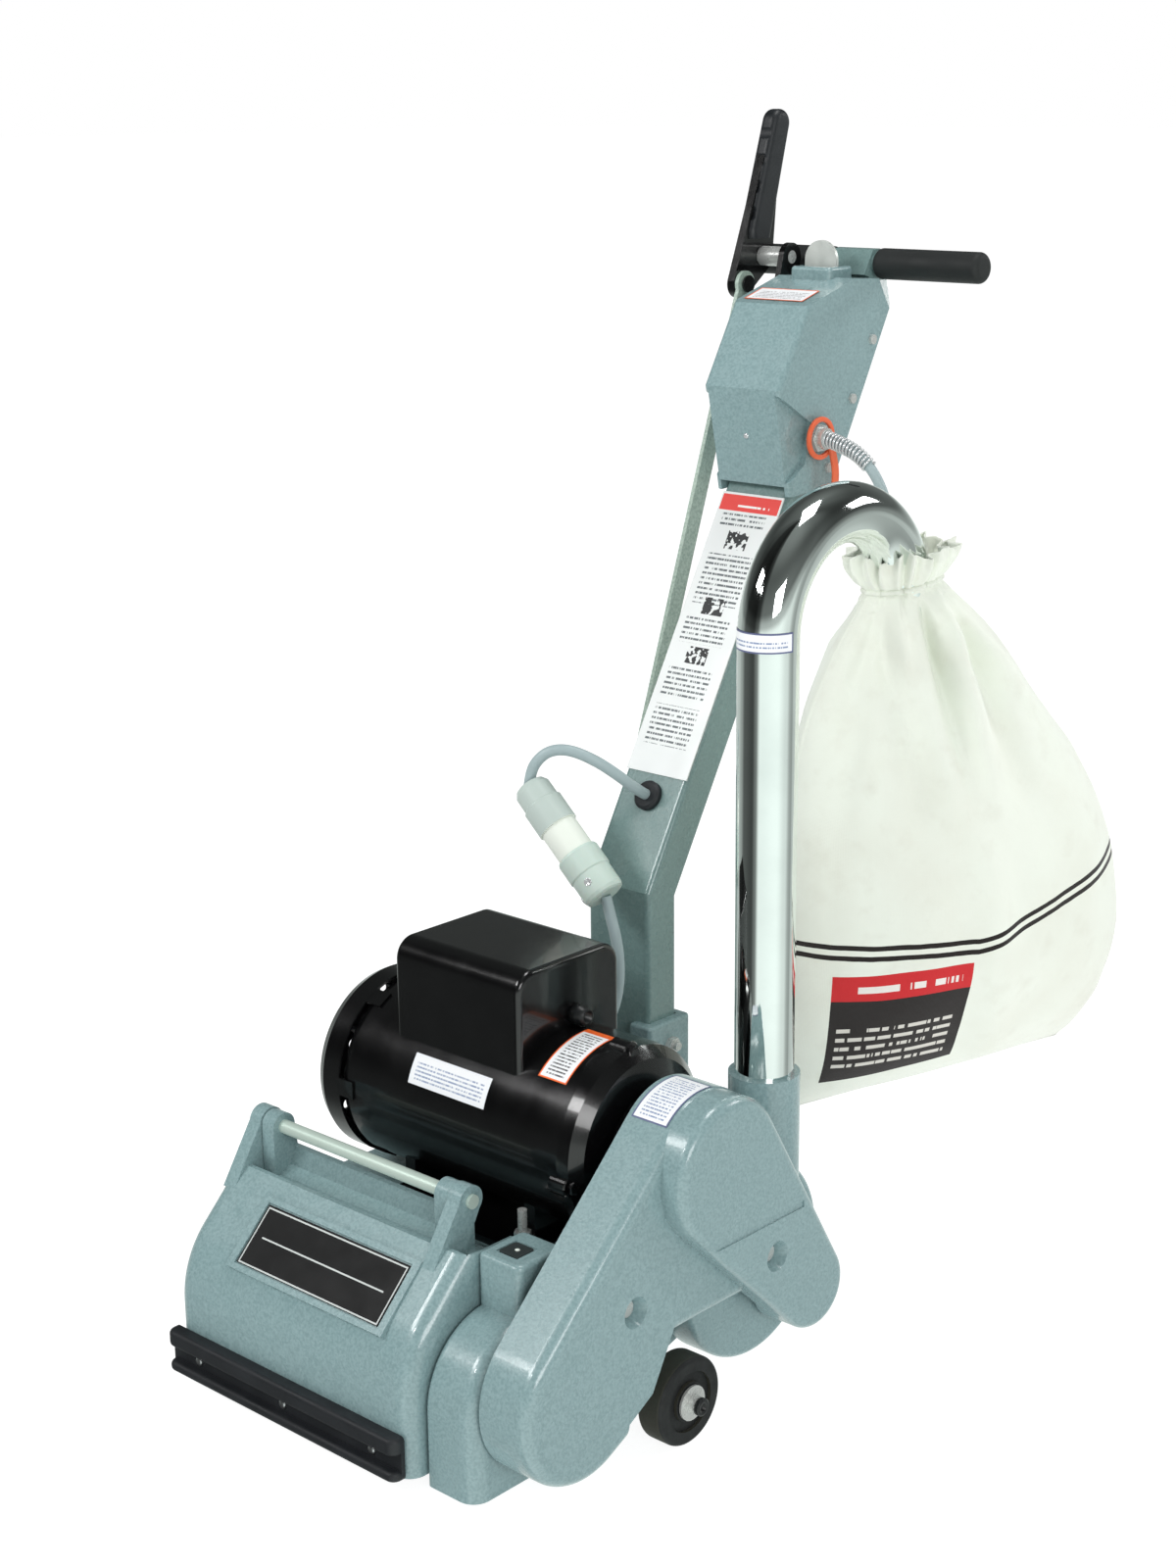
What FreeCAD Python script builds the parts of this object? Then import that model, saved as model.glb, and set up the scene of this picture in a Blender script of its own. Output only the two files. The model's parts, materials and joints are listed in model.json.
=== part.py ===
"""Floor drum sander: every node is one separate piece, written to parts/NODE.step.

Working axes, in millimetres: X runs across the machine towards the belt guard, Y runs from the
drum cover back to the operator, Z is up. X = 0 is the middle of the drum, Y = 0 is near the wheels
and Z = 0 is the floor. At the end everything is moved so that the origin is the middle of the
machine's footprint, on the floor.
"""
import FreeCAD
import Part

import math
import os

V = FreeCAD.Vector
os.makedirs("parts", exist_ok=True)

# ---------------------------------------------------------------- driving dimensions
# drum and its cover
DRUM_LENGTH = 203.0
DRUM_RADIUS = 76.2              # over the abrasive
DRUM_Y = -106.0
ABRASIVE = 1.2
RUBBER = 8.0
COVER_GAP = 10.0                # drum to the inside of its cover
COVER_WALL = 4.5
COVER_HALF_WIDTH = 143.0
COVER_SLOPE_RUN = 58.0          # length of the flat 45 degree front of the cover
LIP_HEIGHT = 12.0               # cover's lower edge above the floor
HINGE_Y = -100.0
HINGE_Z = 213.0
HINGE_ROD_RADIUS = 6.0
LUG_RADIUS = 13.0
LUG_LEFT = -137.0               # outer faces of the cover's two lugs
LUG_RIGHT = 120.0
LUG_THICKNESS = 14.0
POST_THICKNESS = 15.0
PLATE_X = 11.0
PLATE_LENGTH = 172.0
PLATE_HEIGHT = 54.0
PLATE_THICKNESS = 1.2
PLATE_RISE = 8.0                # plate's middle above the foot of the slope
PAD_RIM = 9.0
PAD_HEIGHT = 2.0
BUMPER_DEPTH = 13.0
BUMPER_HEIGHT = 38.0
BUMPER_LIPS = (9.0, 15.0)       # height of the lower and the upper lip

# main casting
WALL = 11.0
WALL_X = 137.0                  # outer faces of the two side walls
DECK_Z = 128.0
DECK_THICKNESS = 12.0
DECK_REAR = 118.0
FENDER_RIGHT = 199.0
FENDER_WALL = 6.0
FENDER_BEND = 71.0              # radius of its front corner, seen from the side
TENSION_NUT_Z = 166.0
PEDESTAL_TOP = 184.0
INLET_RADIUS = 23.0

# motor
MOTOR_Y = 39.0
MOTOR_Z = 235.0
MOTOR_RADIUS = 82.0
SHELL_WALL = 4.0
SHELL_LEFT = -88.0
SHELL_RIGHT = 160.0
FAN_COVER_RADIUS = 84.0
FAN_COVER_LENGTH = 38.0
FAN_COVER_GAP = 3.5
END_BELL = 27.0
SHAFT_RADIUS = 9.5
CAP_X0 = -46.0
CAP_X1 = 100.0
CAP_Y0 = -22.0
CAP_Y1 = 101.0
CAP_TOP = 377.0

# belts and guard
BELT_WIDTH = 12.0
BELT_THICKNESS = 8.0
DRUM_BELT_X = 219.0
FAN_BELT_X = 254.0
FAN_BELT_WIDTH = 9.0
MOTOR_PULLEY = 29.0             # radius of the belt's inner face
DRUM_PULLEY = 43.5
BLOWER_PULLEY = 18.0
GUARD_X0 = 202.0
GUARD_X1 = 252.0
GUARD_X2 = 274.0
GUARD_WALL = 4.0
FRONT_LOBE = 69.0               # the guard's front, top and rear round ends
FRONT_LOBE_Y = -108.0
FRONT_LOBE_Z = 85.0
TOP_LOBE = 63.0
REAR_LOBE = 38.0
REAR_LOBE_Y = 156.0
REAR_LOBE_Z = 91.0

# blower
BLOWER_Y = 143.0                # impeller axis
BLOWER_Z = 102.0
VOLUTE_Y = 125.0
VOLUTE_Z = 115.0
VOLUTE_RADIUS = 87.0
VOLUTE_X0 = 192.0
VOLUTE_X1 = 230.0
IMPELLER_RADIUS = 60.0

# exhaust pipe and bag
PIPE_X = 212.0
PIPE_Y = 158.0
PIPE_RADIUS = 25.4
PIPE_WALL = 1.8
PIPE_BEND_Z = 640.0
PIPE_BEND = 92.0
PIPE_TAIL = 44.0
BAG_X = 225.0
BAG_Y = 385.0
SOCKET_TOP = 271.0
SOCKET_WALL = 5.0

# column and handle
COLUMN_X = 24.0
COLUMN_WIDTH = 72.0
COLUMN_DEPTH = 38.0
COLUMN_WALL = 3.0
COLUMN_FRONT = 184.5
COLUMN_LEAN = 30.0
KNEE_Z = 387.0
COLUMN_TOP_Z = 840.0
HOUSING_WIDTH = 82.0
GROMMET_Z = 461.0
PANEL_LOW = 479.0
HOUSING_LOW = 715.0
SWITCH_X = 22.0
SWITCH_Y = 470.0
SWITCH_Z = 892.0
TBAR_Y = 513.0
TBAR_Z = 912.0
TBAR_X = 32.0
TBAR_LENGTH = 276.0
TBAR_RADIUS = 11.0
GRIP_RADIUS = 14.0
GRIP_LENGTH = 115.0

# lift lever, link, truck and wheels
LEVER_X = -58.0
LEVER_Y = 479.0
LEVER_Z = 917.0
LINK_TOP_Y = 450.0
LINK_TOP_Z = 893.0
TRUCK_Y = 80.0
TRUCK_Z = 60.0
LINK_LOW_Y = 183.0
LINK_LOW_Z = 128.0
LEVER_TILT = 17.0
LINK_THICKNESS = 4.0
LEVER_THICKNESS = 8.0
LEVER_GRIP_WIDTH = 18.0
LINK_PIN = 5.0
OPEN_PIVOT = 1.9                # clearance of the link's lower eye round the truck's pin
WHEEL_RADIUS = 38.1
WHEEL_WIDTH = 25.0
WHEEL_Y = 11.0
WHEEL_RIGHT_X = 230.5
WHEEL_LEFT_X = -182.0
AXLE_RADIUS = 8.0
CASTER_Y = 192.0
CASTER_TRAIL = 20.0
CASTER_RADIUS = 31.0
CASTER_WIDTH = 22.0

# cords
LEAD_RADIUS = 5.0
MOTOR_GLAND = (47.0, 117.0, 262.0)
PLUG_TOP = (-49.8, 150.0, 474.4)
PLUG_END = (41.0, 150.0, 390.5)
LEAD_UPPER = [(14.9, 195.0, 486.0), (0.7, 180.0, 500.4), (-18.5, 168.0, 508.9), (-33.8, 159.0, 506.8),
              (-43.8, 153.0, 496.4), (-48.7, 151.0, 485.2)]
LEAD_LOWER = [(44.0, 150.5, 378.0), (51.0, 152.0, 354.0), (53.0, 154.0, 328.0), (52.0, 153.0, 302.0),
              (49.0, 145.0, 279.0)]
POWER_GLAND = (405.0, 765.0)     # where the cord leaves the housing's side, (y, z)
GLAND_LENGTH = 14.0
POWER_ROUTE = [(104.0, 404.5, 760.0), (124.0, 405.0, 749.0), (138.5, 407.0, 730.0), (145.0, 411.0, 706.0),
               (144.0, 418.0, 678.0), (137.0, 428.0, 644.0), (127.0, 440.0, 600.0), (119.0, 450.0, 545.0),
               (115.0, 456.0, 485.0), (116.0, 459.0, 420.0), (119.0, 460.0, 352.0)]
POWER_END = (120.0, 460.0, 288.0)
POWER_RADIUS = 4.75

# running clearance of a shaft or pin in its hole
FIT = 0.05
LOOSE = 0.6

DRUM_Z = DRUM_RADIUS
nodes = {}


# ---------------------------------------------------------------- small tools
def box(x0, x1, y0, y1, z0, z1):
    return Part.makeBox(x1 - x0, y1 - y0, z1 - z0, V(x0, y0, z0))


def rod(radius, x0, x1, y, z):
    """A cylinder along X."""
    return Part.makeCylinder(radius, x1 - x0, V(x0, y, z), V(1, 0, 0))


def tube(outer, inner, x0, x1, y, z):
    return rod(outer, x0, x1, y, z).cut(rod(inner, x0 - 1, x1 + 1, y, z))


def post(radius, x, y, z0, z1):
    return Part.makeCylinder(radius, z1 - z0, V(x, y, z0))


def prism(points, x0, x1):
    """Extrude a closed (y, z) outline along X."""
    loop = [V(x0, y, z) for y, z in points]
    face = Part.Face(Part.makePolygon(loop + loop[:1]))
    return face.extrude(V(x1 - x0, 0, 0))


def hull(circles, x0, x1, grow=0.0):
    """The shape a belt makes round (y, z, radius) circles listed anticlockwise seen from +X."""
    edges = []
    count = len(circles)
    tangents = []
    for i in range(count):
        y1, z1, r1 = circles[i]
        y2, z2, r2 = circles[(i + 1) % count]
        r1 += grow
        r2 += grow
        span = math.hypot(y2 - y1, z2 - z1)
        heading = math.atan2(z2 - z1, y2 - y1)
        out = heading - math.acos((r1 - r2) / span)
        start = V(x0, y1 + r1 * math.cos(out), z1 + r1 * math.sin(out))
        end = V(x0, y2 + r2 * math.cos(out), z2 + r2 * math.sin(out))
        tangents.append((out, start, end))
    for i in range(count):
        out, start, end = tangents[i]
        next_out, next_start, _ = tangents[(i + 1) % count]
        y, z, r = circles[(i + 1) % count]
        r += grow
        turn = (next_out - out) % (2 * math.pi)
        middle = out + turn / 2
        edges.append(Part.LineSegment(start, end).toShape())
        through = V(x0, y + r * math.cos(middle), z + r * math.sin(middle))
        edges.append(Part.Arc(end, through, next_start).toShape())
    face = Part.Face(Part.Wire(edges))
    return face.extrude(V(x1 - x0, 0, 0))


def fillet(shape, radius, wanted):
    """Round every edge for which wanted(edge's bounding box) is true."""
    edges = [edge for edge in shape.Edges if wanted(edge.BoundBox)]
    return shape.makeFillet(radius, edges)


def flat_in_x(bb, x):
    return abs(bb.XMin - x) < 0.01 and abs(bb.XMax - x) < 0.01


def rounded_box(x0, x1, y0, y1, z0, z1, radius):
    """A box with its four upright edges and its top rounded."""
    block = box(x0, x1, y0, y1, z0, z1)
    block = fillet(block, radius, lambda bb: bb.ZLength > z1 - z0 - 0.01)
    return fillet(block, radius * 0.6, lambda bb: bb.ZMin > z1 - 0.01)


def turned(profile, x, y, z, axis=V(1, 0, 0)):
    """Turn (along, radius) points about an axis through (x, y, z)."""
    base = V(x, y, z)
    side = V(0, 0, 1) if abs(axis.z) < 0.9 else V(0, 1, 0)
    side = axis.cross(side).cross(axis).normalize()
    loop = [base + axis * along + side * radius for along, radius in profile]
    face = Part.Face(Part.makePolygon(loop + loop[:1]))
    return face.revolve(base, axis, 360)


def hex_head(radius, height, base, axis):
    """A hexagonal head or nut that starts at base and rises along axis."""
    side = V(0, 0, 1) if abs(axis.z) < 0.9 else V(0, 1, 0)
    side = axis.cross(side).normalize()
    other = axis.cross(side)
    loop = []
    for k in range(6):
        turn = math.radians(60 * k)
        loop.append(base + side * (radius * math.cos(turn)) + other * (radius * math.sin(turn)))
    face = Part.Face(Part.makePolygon(loop + loop[:1]))
    return face.extrude(axis * height)


def fuse(*shapes):
    whole = shapes[0].multiFuse(list(shapes[1:]))
    return whole.removeSplitter()


def cord_tube(name, points, diameter):
    """Straight runs joined by tangent arcs, swept with a round section."""
    places = [V(*point) for point in points]
    edges = []
    radii = []
    at = places[0]
    length = 0.0
    for before, corner, after in zip(places, places[1:], places[2:]):
        back = (before - corner)
        forward = (after - corner)
        shorter = min(back.Length, forward.Length)
        back.normalize()
        forward.normalize()
        half_turn = (math.pi - back.getAngle(forward)) / 2
        reach = 0.45 * shorter
        radius = reach / math.tan(half_turn)
        radii.append(round(radius, 1))
        start = corner + back * reach
        end = corner + forward * reach
        inward = (back + forward).normalize()
        middle = corner + inward * (radius / math.cos(half_turn) - radius)
        edges.append(Part.LineSegment(at, start).toShape())
        edges.append(Part.Arc(start, middle, end).toShape())
        length += (start - at).Length + radius * 2 * half_turn
        at = end
    edges.append(Part.LineSegment(at, places[-1]).toShape())
    length += (places[-1] - at).Length
    path = Part.Wire(edges)
    heading = (places[1] - places[0]).normalize()
    section = Part.Wire([Part.Circle(places[0], heading, diameter / 2).toShape()])
    solid = path.makePipeShell([section], True, True)
    expected = math.pi * diameter ** 2 / 4 * length
    print(name, "length", round(length, 1), "radii", radii, "volume ratio", round(solid.Volume / expected, 4))
    nodes[name] = solid


# ---------------------------------------------------------------- drum
def make_drum():
    half = DRUM_LENGTH / 2
    core_radius = DRUM_RADIUS - ABRASIVE - RUBBER
    shaft = AXLE_RADIUS + 4.5
    core = rod(core_radius, -half, half, DRUM_Y, DRUM_Z)
    for side in (-1, 1):
        dish = rod(core_radius - 9, side * half - 16, side * half + 16, DRUM_Y, DRUM_Z)
        hub = rod(shaft + 11, side * half - 16, side * half + 16, DRUM_Y, DRUM_Z)
        core = core.cut(dish.cut(hub))
    nodes["drum_core"] = core.cut(rod(shaft, -half - 1, half + 1, DRUM_Y, DRUM_Z))
    nodes["drum_rubber_sleeve"] = tube(core_radius + RUBBER, core_radius, -half, half, DRUM_Y, DRUM_Z)
    nodes["abrasive_sleeve"] = tube(DRUM_RADIUS, core_radius + RUBBER, -half, half, DRUM_Y, DRUM_Z)
    left_end = -WALL_X
    pulley_end = DRUM_BELT_X + BELT_WIDTH + 5
    nodes["drum_shaft"] = rod(shaft, left_end, pulley_end, DRUM_Y, DRUM_Z)
    nodes["drum_pulley"] = pulley([(DRUM_BELT_X, BELT_WIDTH, DRUM_PULLEY)], DRUM_Y, DRUM_Z, shaft)
    bearing = 26.0
    bearings = []
    for x0, x1 in ((-WALL_X, 2 - WALL_X + WALL), (WALL_X - WALL - 2, WALL_X)):
        bearings.append(tube(bearing, shaft + FIT, x0, x1, DRUM_Y, DRUM_Z))
    nodes["shaft_bearings"] = Part.makeCompound(bearings)
    return shaft, bearing


def pulley(grooves, y, z, bore):
    """One boss with a flanged groove for each (first x, width, groove radius)."""
    flange = 2.5
    rim = BELT_THICKNESS - 2
    discs = []
    for x0, width, radius in grooves:
        discs.append(rod(radius - LOOSE, x0 - LOOSE, x0 + width + LOOSE, y, z))
        for edge in (x0 - LOOSE - flange, x0 + width + LOOSE):
            discs.append(rod(radius + rim, edge, edge + flange, y, z))
    first = grooves[0][0]
    last = grooves[-1][0] + grooves[-1][1]
    discs.append(rod(bore + 6, first - 4, last + 4, y, z))
    return fuse(*discs).cut(rod(bore, first - 10, last + 10, y, z))


# ---------------------------------------------------------------- drum cover
def cover_outline(offset):
    """The cover's (y, z) line: upright front, arc round the drum, then a straight 45 degree front."""
    radius = DRUM_RADIUS + COVER_GAP + COVER_WALL + offset
    start = V(0, DRUM_Y - radius, LIP_HEIGHT)
    level = V(0, DRUM_Y - radius, DRUM_Z)
    mid_turn = math.radians(157.5)
    middle = V(0, DRUM_Y + radius * math.cos(mid_turn), DRUM_Z + radius * math.sin(mid_turn))
    leave = V(0, DRUM_Y - radius * math.sqrt(0.5), DRUM_Z + radius * math.sqrt(0.5))
    ridge = leave + V(0, 1, 1) * (COVER_SLOPE_RUN * math.sqrt(0.5))
    return start, level, middle, leave, ridge


def cover_block(offset, half_width, ends_round, rear, foot):
    """A solid under the cover line, back to the plane y = rear, with rounded ends."""
    start, level, middle, leave, ridge = cover_outline(offset)
    start = V(0, start.y, foot)
    corner = V(0, rear, ridge.z - 2)
    low = V(0, rear, foot)
    edges = [
        Part.LineSegment(start, level).toShape(),
        Part.Arc(level, middle, leave).toShape(),
        Part.LineSegment(leave, ridge).toShape(),
        Part.LineSegment(ridge, corner).toShape(),
        Part.LineSegment(corner, low).toShape(),
        Part.LineSegment(low, start).toShape(),
    ]
    face = Part.Face(Part.Wire(edges))
    face.translate(V(-half_width, 0, 0))
    block = face.extrude(V(2 * half_width, 0, 0))

    def on_front(bb):
        at_end = flat_in_x(bb, -half_width) or flat_in_x(bb, half_width)
        return at_end and bb.YMin < ridge.y - 1 and bb.ZMax > foot + 0.1
    return fillet(block, ends_round, on_front)


def make_cover(shaft):
    rear = HINGE_Y - 8
    ridge = cover_outline(0)[4]
    skin = cover_block(0, COVER_HALF_WIDTH, 16.0, rear, LIP_HEIGHT)
    hollow = cover_block(-COVER_WALL, COVER_HALF_WIDTH - COVER_WALL, 11.0, rear + 5, LIP_HEIGHT - 5)
    skin = skin.cut(hollow)
    inner = COVER_HALF_WIDTH - COVER_WALL
    gap_y = ridge.y + 5
    skin = skin.cut(box(-inner, inner, gap_y, rear + 10, LIP_HEIGHT - 5, ridge.z + 5))
    for x1 in (LUG_LEFT + LUG_THICKNESS, LUG_RIGHT):
        foot_front = ridge.y - 16
        rib = prism([(foot_front, ridge.z - 17), (HINGE_Y - LUG_RADIUS, HINGE_Z + 2), (HINGE_Y, HINGE_Z),
                     (HINGE_Y + LUG_RADIUS, HINGE_Z - 2), (rear, ridge.z - 10), (rear, ridge.z - 16)],
                    x1 - LUG_THICKNESS, x1)
        eye = rod(LUG_RADIUS, x1 - LUG_THICKNESS, x1, HINGE_Y, HINGE_Z)
        skin = fuse(skin, rib, eye)
    skin = skin.cut(rod(HINGE_ROD_RADIUS + FIT, -200, 200, HINGE_Y, HINGE_Z))
    skin = skin.cut(rod(shaft + 3, WALL_X, COVER_HALF_WIDTH + 1, DRUM_Y, DRUM_Z))
    pad, recess = plate_pad()
    skin = fuse(skin, pad.cut(cover_block(-COVER_WALL, inner, 11.0, rear + 5, LIP_HEIGHT - 5))).cut(recess)
    nodes["drum_cover"] = skin
    front = cover_outline(0)[0].y
    nodes["front_bumper"] = make_bumper(front)
    nodes["cover_plate"] = make_nameplate()


def make_bumper(front):
    """A rubber channel, open to the front, along the cover's lower edge."""
    low = LIP_HEIGHT + 1
    top = low + BUMPER_HEIGHT
    y0 = front - BUMPER_DEPTH
    strip = box(-COVER_HALF_WIDTH - 2, COVER_HALF_WIDTH - 5, y0, front, low, top)
    strip = fillet(strip, 9.0, lambda bb: bb.ZLength > BUMPER_HEIGHT - 1 and bb.YMax < y0 + 0.1)
    mouth = box(-COVER_HALF_WIDTH - 3, COVER_HALF_WIDTH - 4, y0 - 5, front - 4,
                low + BUMPER_LIPS[0], top - BUMPER_LIPS[1])
    strip = strip.cut(mouth)
    return fillet(strip, 4.0, lambda bb: bb.XLength > COVER_HALF_WIDTH and bb.YMax < y0 + 0.1)


def slope_slab(x0, x1, low, high, depth, height):
    """A slab lying on the cover's flat slope, from low to high measured up from the slope's foot."""
    _, _, _, leave, ridge = cover_outline(0)
    up = (ridge - leave).normalize()
    out = V(0, -up.z, up.y)
    corner = leave + V(x0, 0, 0) + up * low - out * depth
    loop = [corner, corner + V(x1 - x0, 0, 0), corner + V(x1 - x0, 0, 0) + up * (high - low), corner + up * (high - low)]
    face = Part.Face(Part.makePolygon(loop + loop[:1]))
    return face.extrude(out * (depth + height))


def plate_pad():
    """The flat pad with a raised rim that the plate lies in."""
    x0 = PLATE_X - PLATE_LENGTH / 2
    x1 = PLATE_X + PLATE_LENGTH / 2
    low = PLATE_RISE - PLATE_HEIGHT / 2
    high = PLATE_RISE + PLATE_HEIGHT / 2
    pad = slope_slab(x0 - PAD_RIM, x1 + PAD_RIM, low - PAD_RIM * 0.7, high + PAD_RIM * 0.7, COVER_WALL, PAD_HEIGHT)
    return pad, slope_slab(x0 - 1.5, x1 + 1.5, low - 1.5, high + 1.5, 0, PAD_HEIGHT + 1)


def make_nameplate():
    """A thin plate in the pad on the cover's flat front."""
    return slope_slab(PLATE_X - PLATE_LENGTH / 2, PLATE_X + PLATE_LENGTH / 2, PLATE_RISE - PLATE_HEIGHT / 2,
                      PLATE_RISE + PLATE_HEIGHT / 2, 0, PLATE_THICKNESS)


# ---------------------------------------------------------------- main casting
def make_casting(shaft, bearing):
    disc = DRUM_RADIUS + COVER_GAP - 2
    top = DECK_Z + DECK_THICKNESS
    solids = []
    for x0 in (-WALL_X, WALL_X - WALL):
        x1 = x0 + WALL
        side = rod(disc, x0, x1, DRUM_Y, DRUM_Z)
        side = side.cut(box(x0 - 1, x1 + 1, DRUM_Y - disc - 1, DRUM_Y - 34, -50, 300))
        side = side.cut(box(x0 - 1, x1 + 1, DRUM_Y - disc, DRUM_Y + disc, -50, LIP_HEIGHT))
        rear = box(x0, x1, DRUM_Y + 60, DECK_REAR, DECK_Z - 46, top)
        boss = hull([(TRUCK_Y, TRUCK_Z, 17), (TRUCK_Y, DECK_Z - 20, 17)], x0, x1)
        solids += [side, rear, boss]
        solids.append(box(x0, x1, HINGE_Y - 4, HINGE_Y + 38, DECK_Z - 20, HINGE_Z - 42))
    arch_in = DRUM_RADIUS + 5
    arch = tube(arch_in + 6, arch_in, -WALL_X + 1, WALL_X - 1, DRUM_Y, DRUM_Z)
    arch = arch.cut(box(-200, 200, DRUM_Y - 200, DRUM_Y - 6, -50, 300))
    arch = arch.cut(box(-200, 200, DRUM_Y - 200, DRUM_Y + 200, -50, LIP_HEIGHT))
    deck = box(-WALL_X, VOLUTE_X0 - 4, DRUM_Y + 62, DECK_REAR, DECK_Z, top)
    beam = box(COLUMN_X - 49, COLUMN_X + 49, DECK_REAR - 8, COLUMN_FRONT + COLUMN_DEPTH + 14, top - 42, top)
    solids += [arch, deck, beam]
    ridge = cover_outline(0)[4]
    apron_front = ridge.y + 10
    apron = prism([(apron_front, ridge.z - 30), (apron_front, ridge.z - 11), (apron_front + 13, ridge.z - 11),
                   (HINGE_Y + 5, ridge.z - 5), (HINGE_Y + 12, ridge.z + 9), (HINGE_Y + 18, ridge.z + 9),
                   (HINGE_Y + 18, ridge.z - 36)], LUG_LEFT + LUG_THICKNESS + 1, LUG_RIGHT - LUG_THICKNESS - 1)
    solids.append(apron)
    for x0 in (LUG_LEFT + LUG_THICKNESS + 1, LUG_RIGHT - LUG_THICKNESS - 1 - POST_THICKNESS):
        x1 = x0 + POST_THICKNESS
        solids.append(rod(LUG_RADIUS - 1, x0, x1, HINGE_Y, HINGE_Z))
        solids.append(prism([(HINGE_Y - LUG_RADIUS + 1, HINGE_Z), (HINGE_Y + LUG_RADIUS - 1, HINGE_Z),
                             (HINGE_Y + LUG_RADIUS + 6, ridge.z - 30), (HINGE_Y - LUG_RADIUS + 1, ridge.z - 30)],
                            x0, x1))
    fender_left = COVER_HALF_WIDTH + 2
    solids += make_fender(fender_left, top)
    solids.append(box(WALL_X - 2, fender_left + 2, HINGE_Y + 2, HINGE_Y + 44, DECK_Z - 20, top))
    solids.append(post(9, WALL_X - 7, HINGE_Y + 48, DECK_Z, TENSION_NUT_Z))
    solids.append(make_duct())
    body = fuse(*solids)
    body = body.cut(rod(arch_in, WALL - WALL_X, WALL_X - WALL, DRUM_Y, DRUM_Z))
    for x0 in (-WALL_X, WALL_X - WALL):
        body = body.cut(rod(bearing, x0 - 2, x0 + WALL + 2, DRUM_Y, DRUM_Z))
        body = body.cut(rod(AXLE_RADIUS + FIT, x0 - 2, x0 + WALL + 2, TRUCK_Y, TRUCK_Z))
    body = body.cut(rod(shaft + 2, WALL_X, FENDER_RIGHT + 1, DRUM_Y, DRUM_Z))
    body = body.cut(rod(HINGE_ROD_RADIUS, LUG_LEFT, LUG_RIGHT, HINGE_Y, HINGE_Z))
    nodes["main_casting"] = body
    nodes["cover_hinge_rod"] = rod(HINGE_ROD_RADIUS, LUG_LEFT - 3, LUG_RIGHT + 3, HINGE_Y, HINGE_Z)


def make_fender(left, top):
    """The hollow bulge over the drum's drive end, and the block on top of it."""
    right = FENDER_RIGHT
    outer = fender_block(left, right, 0)
    outer = fillet(outer, 16.0, lambda bb: flat_in_x(bb, right) and bb.YMin < HINGE_Y - 30 and bb.ZMax > 20)
    outer = fillet(outer, 6.0, lambda bb: flat_in_x(bb, left) and bb.YMin < HINGE_Y - 30 and bb.ZMax > 20)
    inner = fender_block(left + FENDER_WALL, right - FENDER_WALL, FENDER_WALL)
    block = rounded_box(left - 1, right - 8, HINGE_Y - 19, HINGE_Y + 34, top - 20, PEDESTAL_TOP, 7)
    recess = box(left + 9, left + 33, HINGE_Y - 8, HINGE_Y + 16, PEDESTAL_TOP - 1.5, PEDESTAL_TOP + 1)
    return [outer.cut(inner), block.cut(recess)]


def fender_block(x0, x1, inset):
    front = DRUM_Y - DRUM_RADIUS + 1 + inset
    low = LIP_HEIGHT - 7 if inset == 0 else -10
    back = HINGE_Y + 44 - inset
    height = DECK_Z + DECK_THICKNESS - inset
    bend = FENDER_BEND - inset
    reach = bend * (1 - math.sqrt(0.5))
    start = V(x0, front, low)
    level = V(x0, front, height - bend)
    middle = V(x0, front + reach, height - reach)
    crown = V(x0, front + bend, height)
    edges = [
        Part.LineSegment(start, level).toShape(),
        Part.Arc(level, middle, crown).toShape(),
        Part.LineSegment(crown, V(x0, back, height)).toShape(),
        Part.LineSegment(V(x0, back, height), V(x0, back, low)).toShape(),
        Part.LineSegment(V(x0, back, low), start).toShape(),
    ]
    return Part.Face(Part.Wire(edges)).extrude(V(x1 - x0, 0, 0))


def make_duct():
    """Dust passage under the deck, from the drum chamber to the blower's inlet."""
    x0 = WALL_X - 2
    x1 = VOLUTE_X0
    y0 = DRUM_Y + 84
    y1 = BLOWER_Y + 33
    z0 = TRUCK_Z + 20
    z1 = DECK_Z + 1
    wall = 3.5
    duct = box(x0, x1, y0, y1, z0, z1).cut(box(x0 + wall, x1 - wall, y0 + wall, y1 - wall, z0 + wall, z1 - wall))
    return duct.cut(rod(INLET_RADIUS, x1 - 5, x1 + 1, BLOWER_Y, BLOWER_Z))


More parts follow.
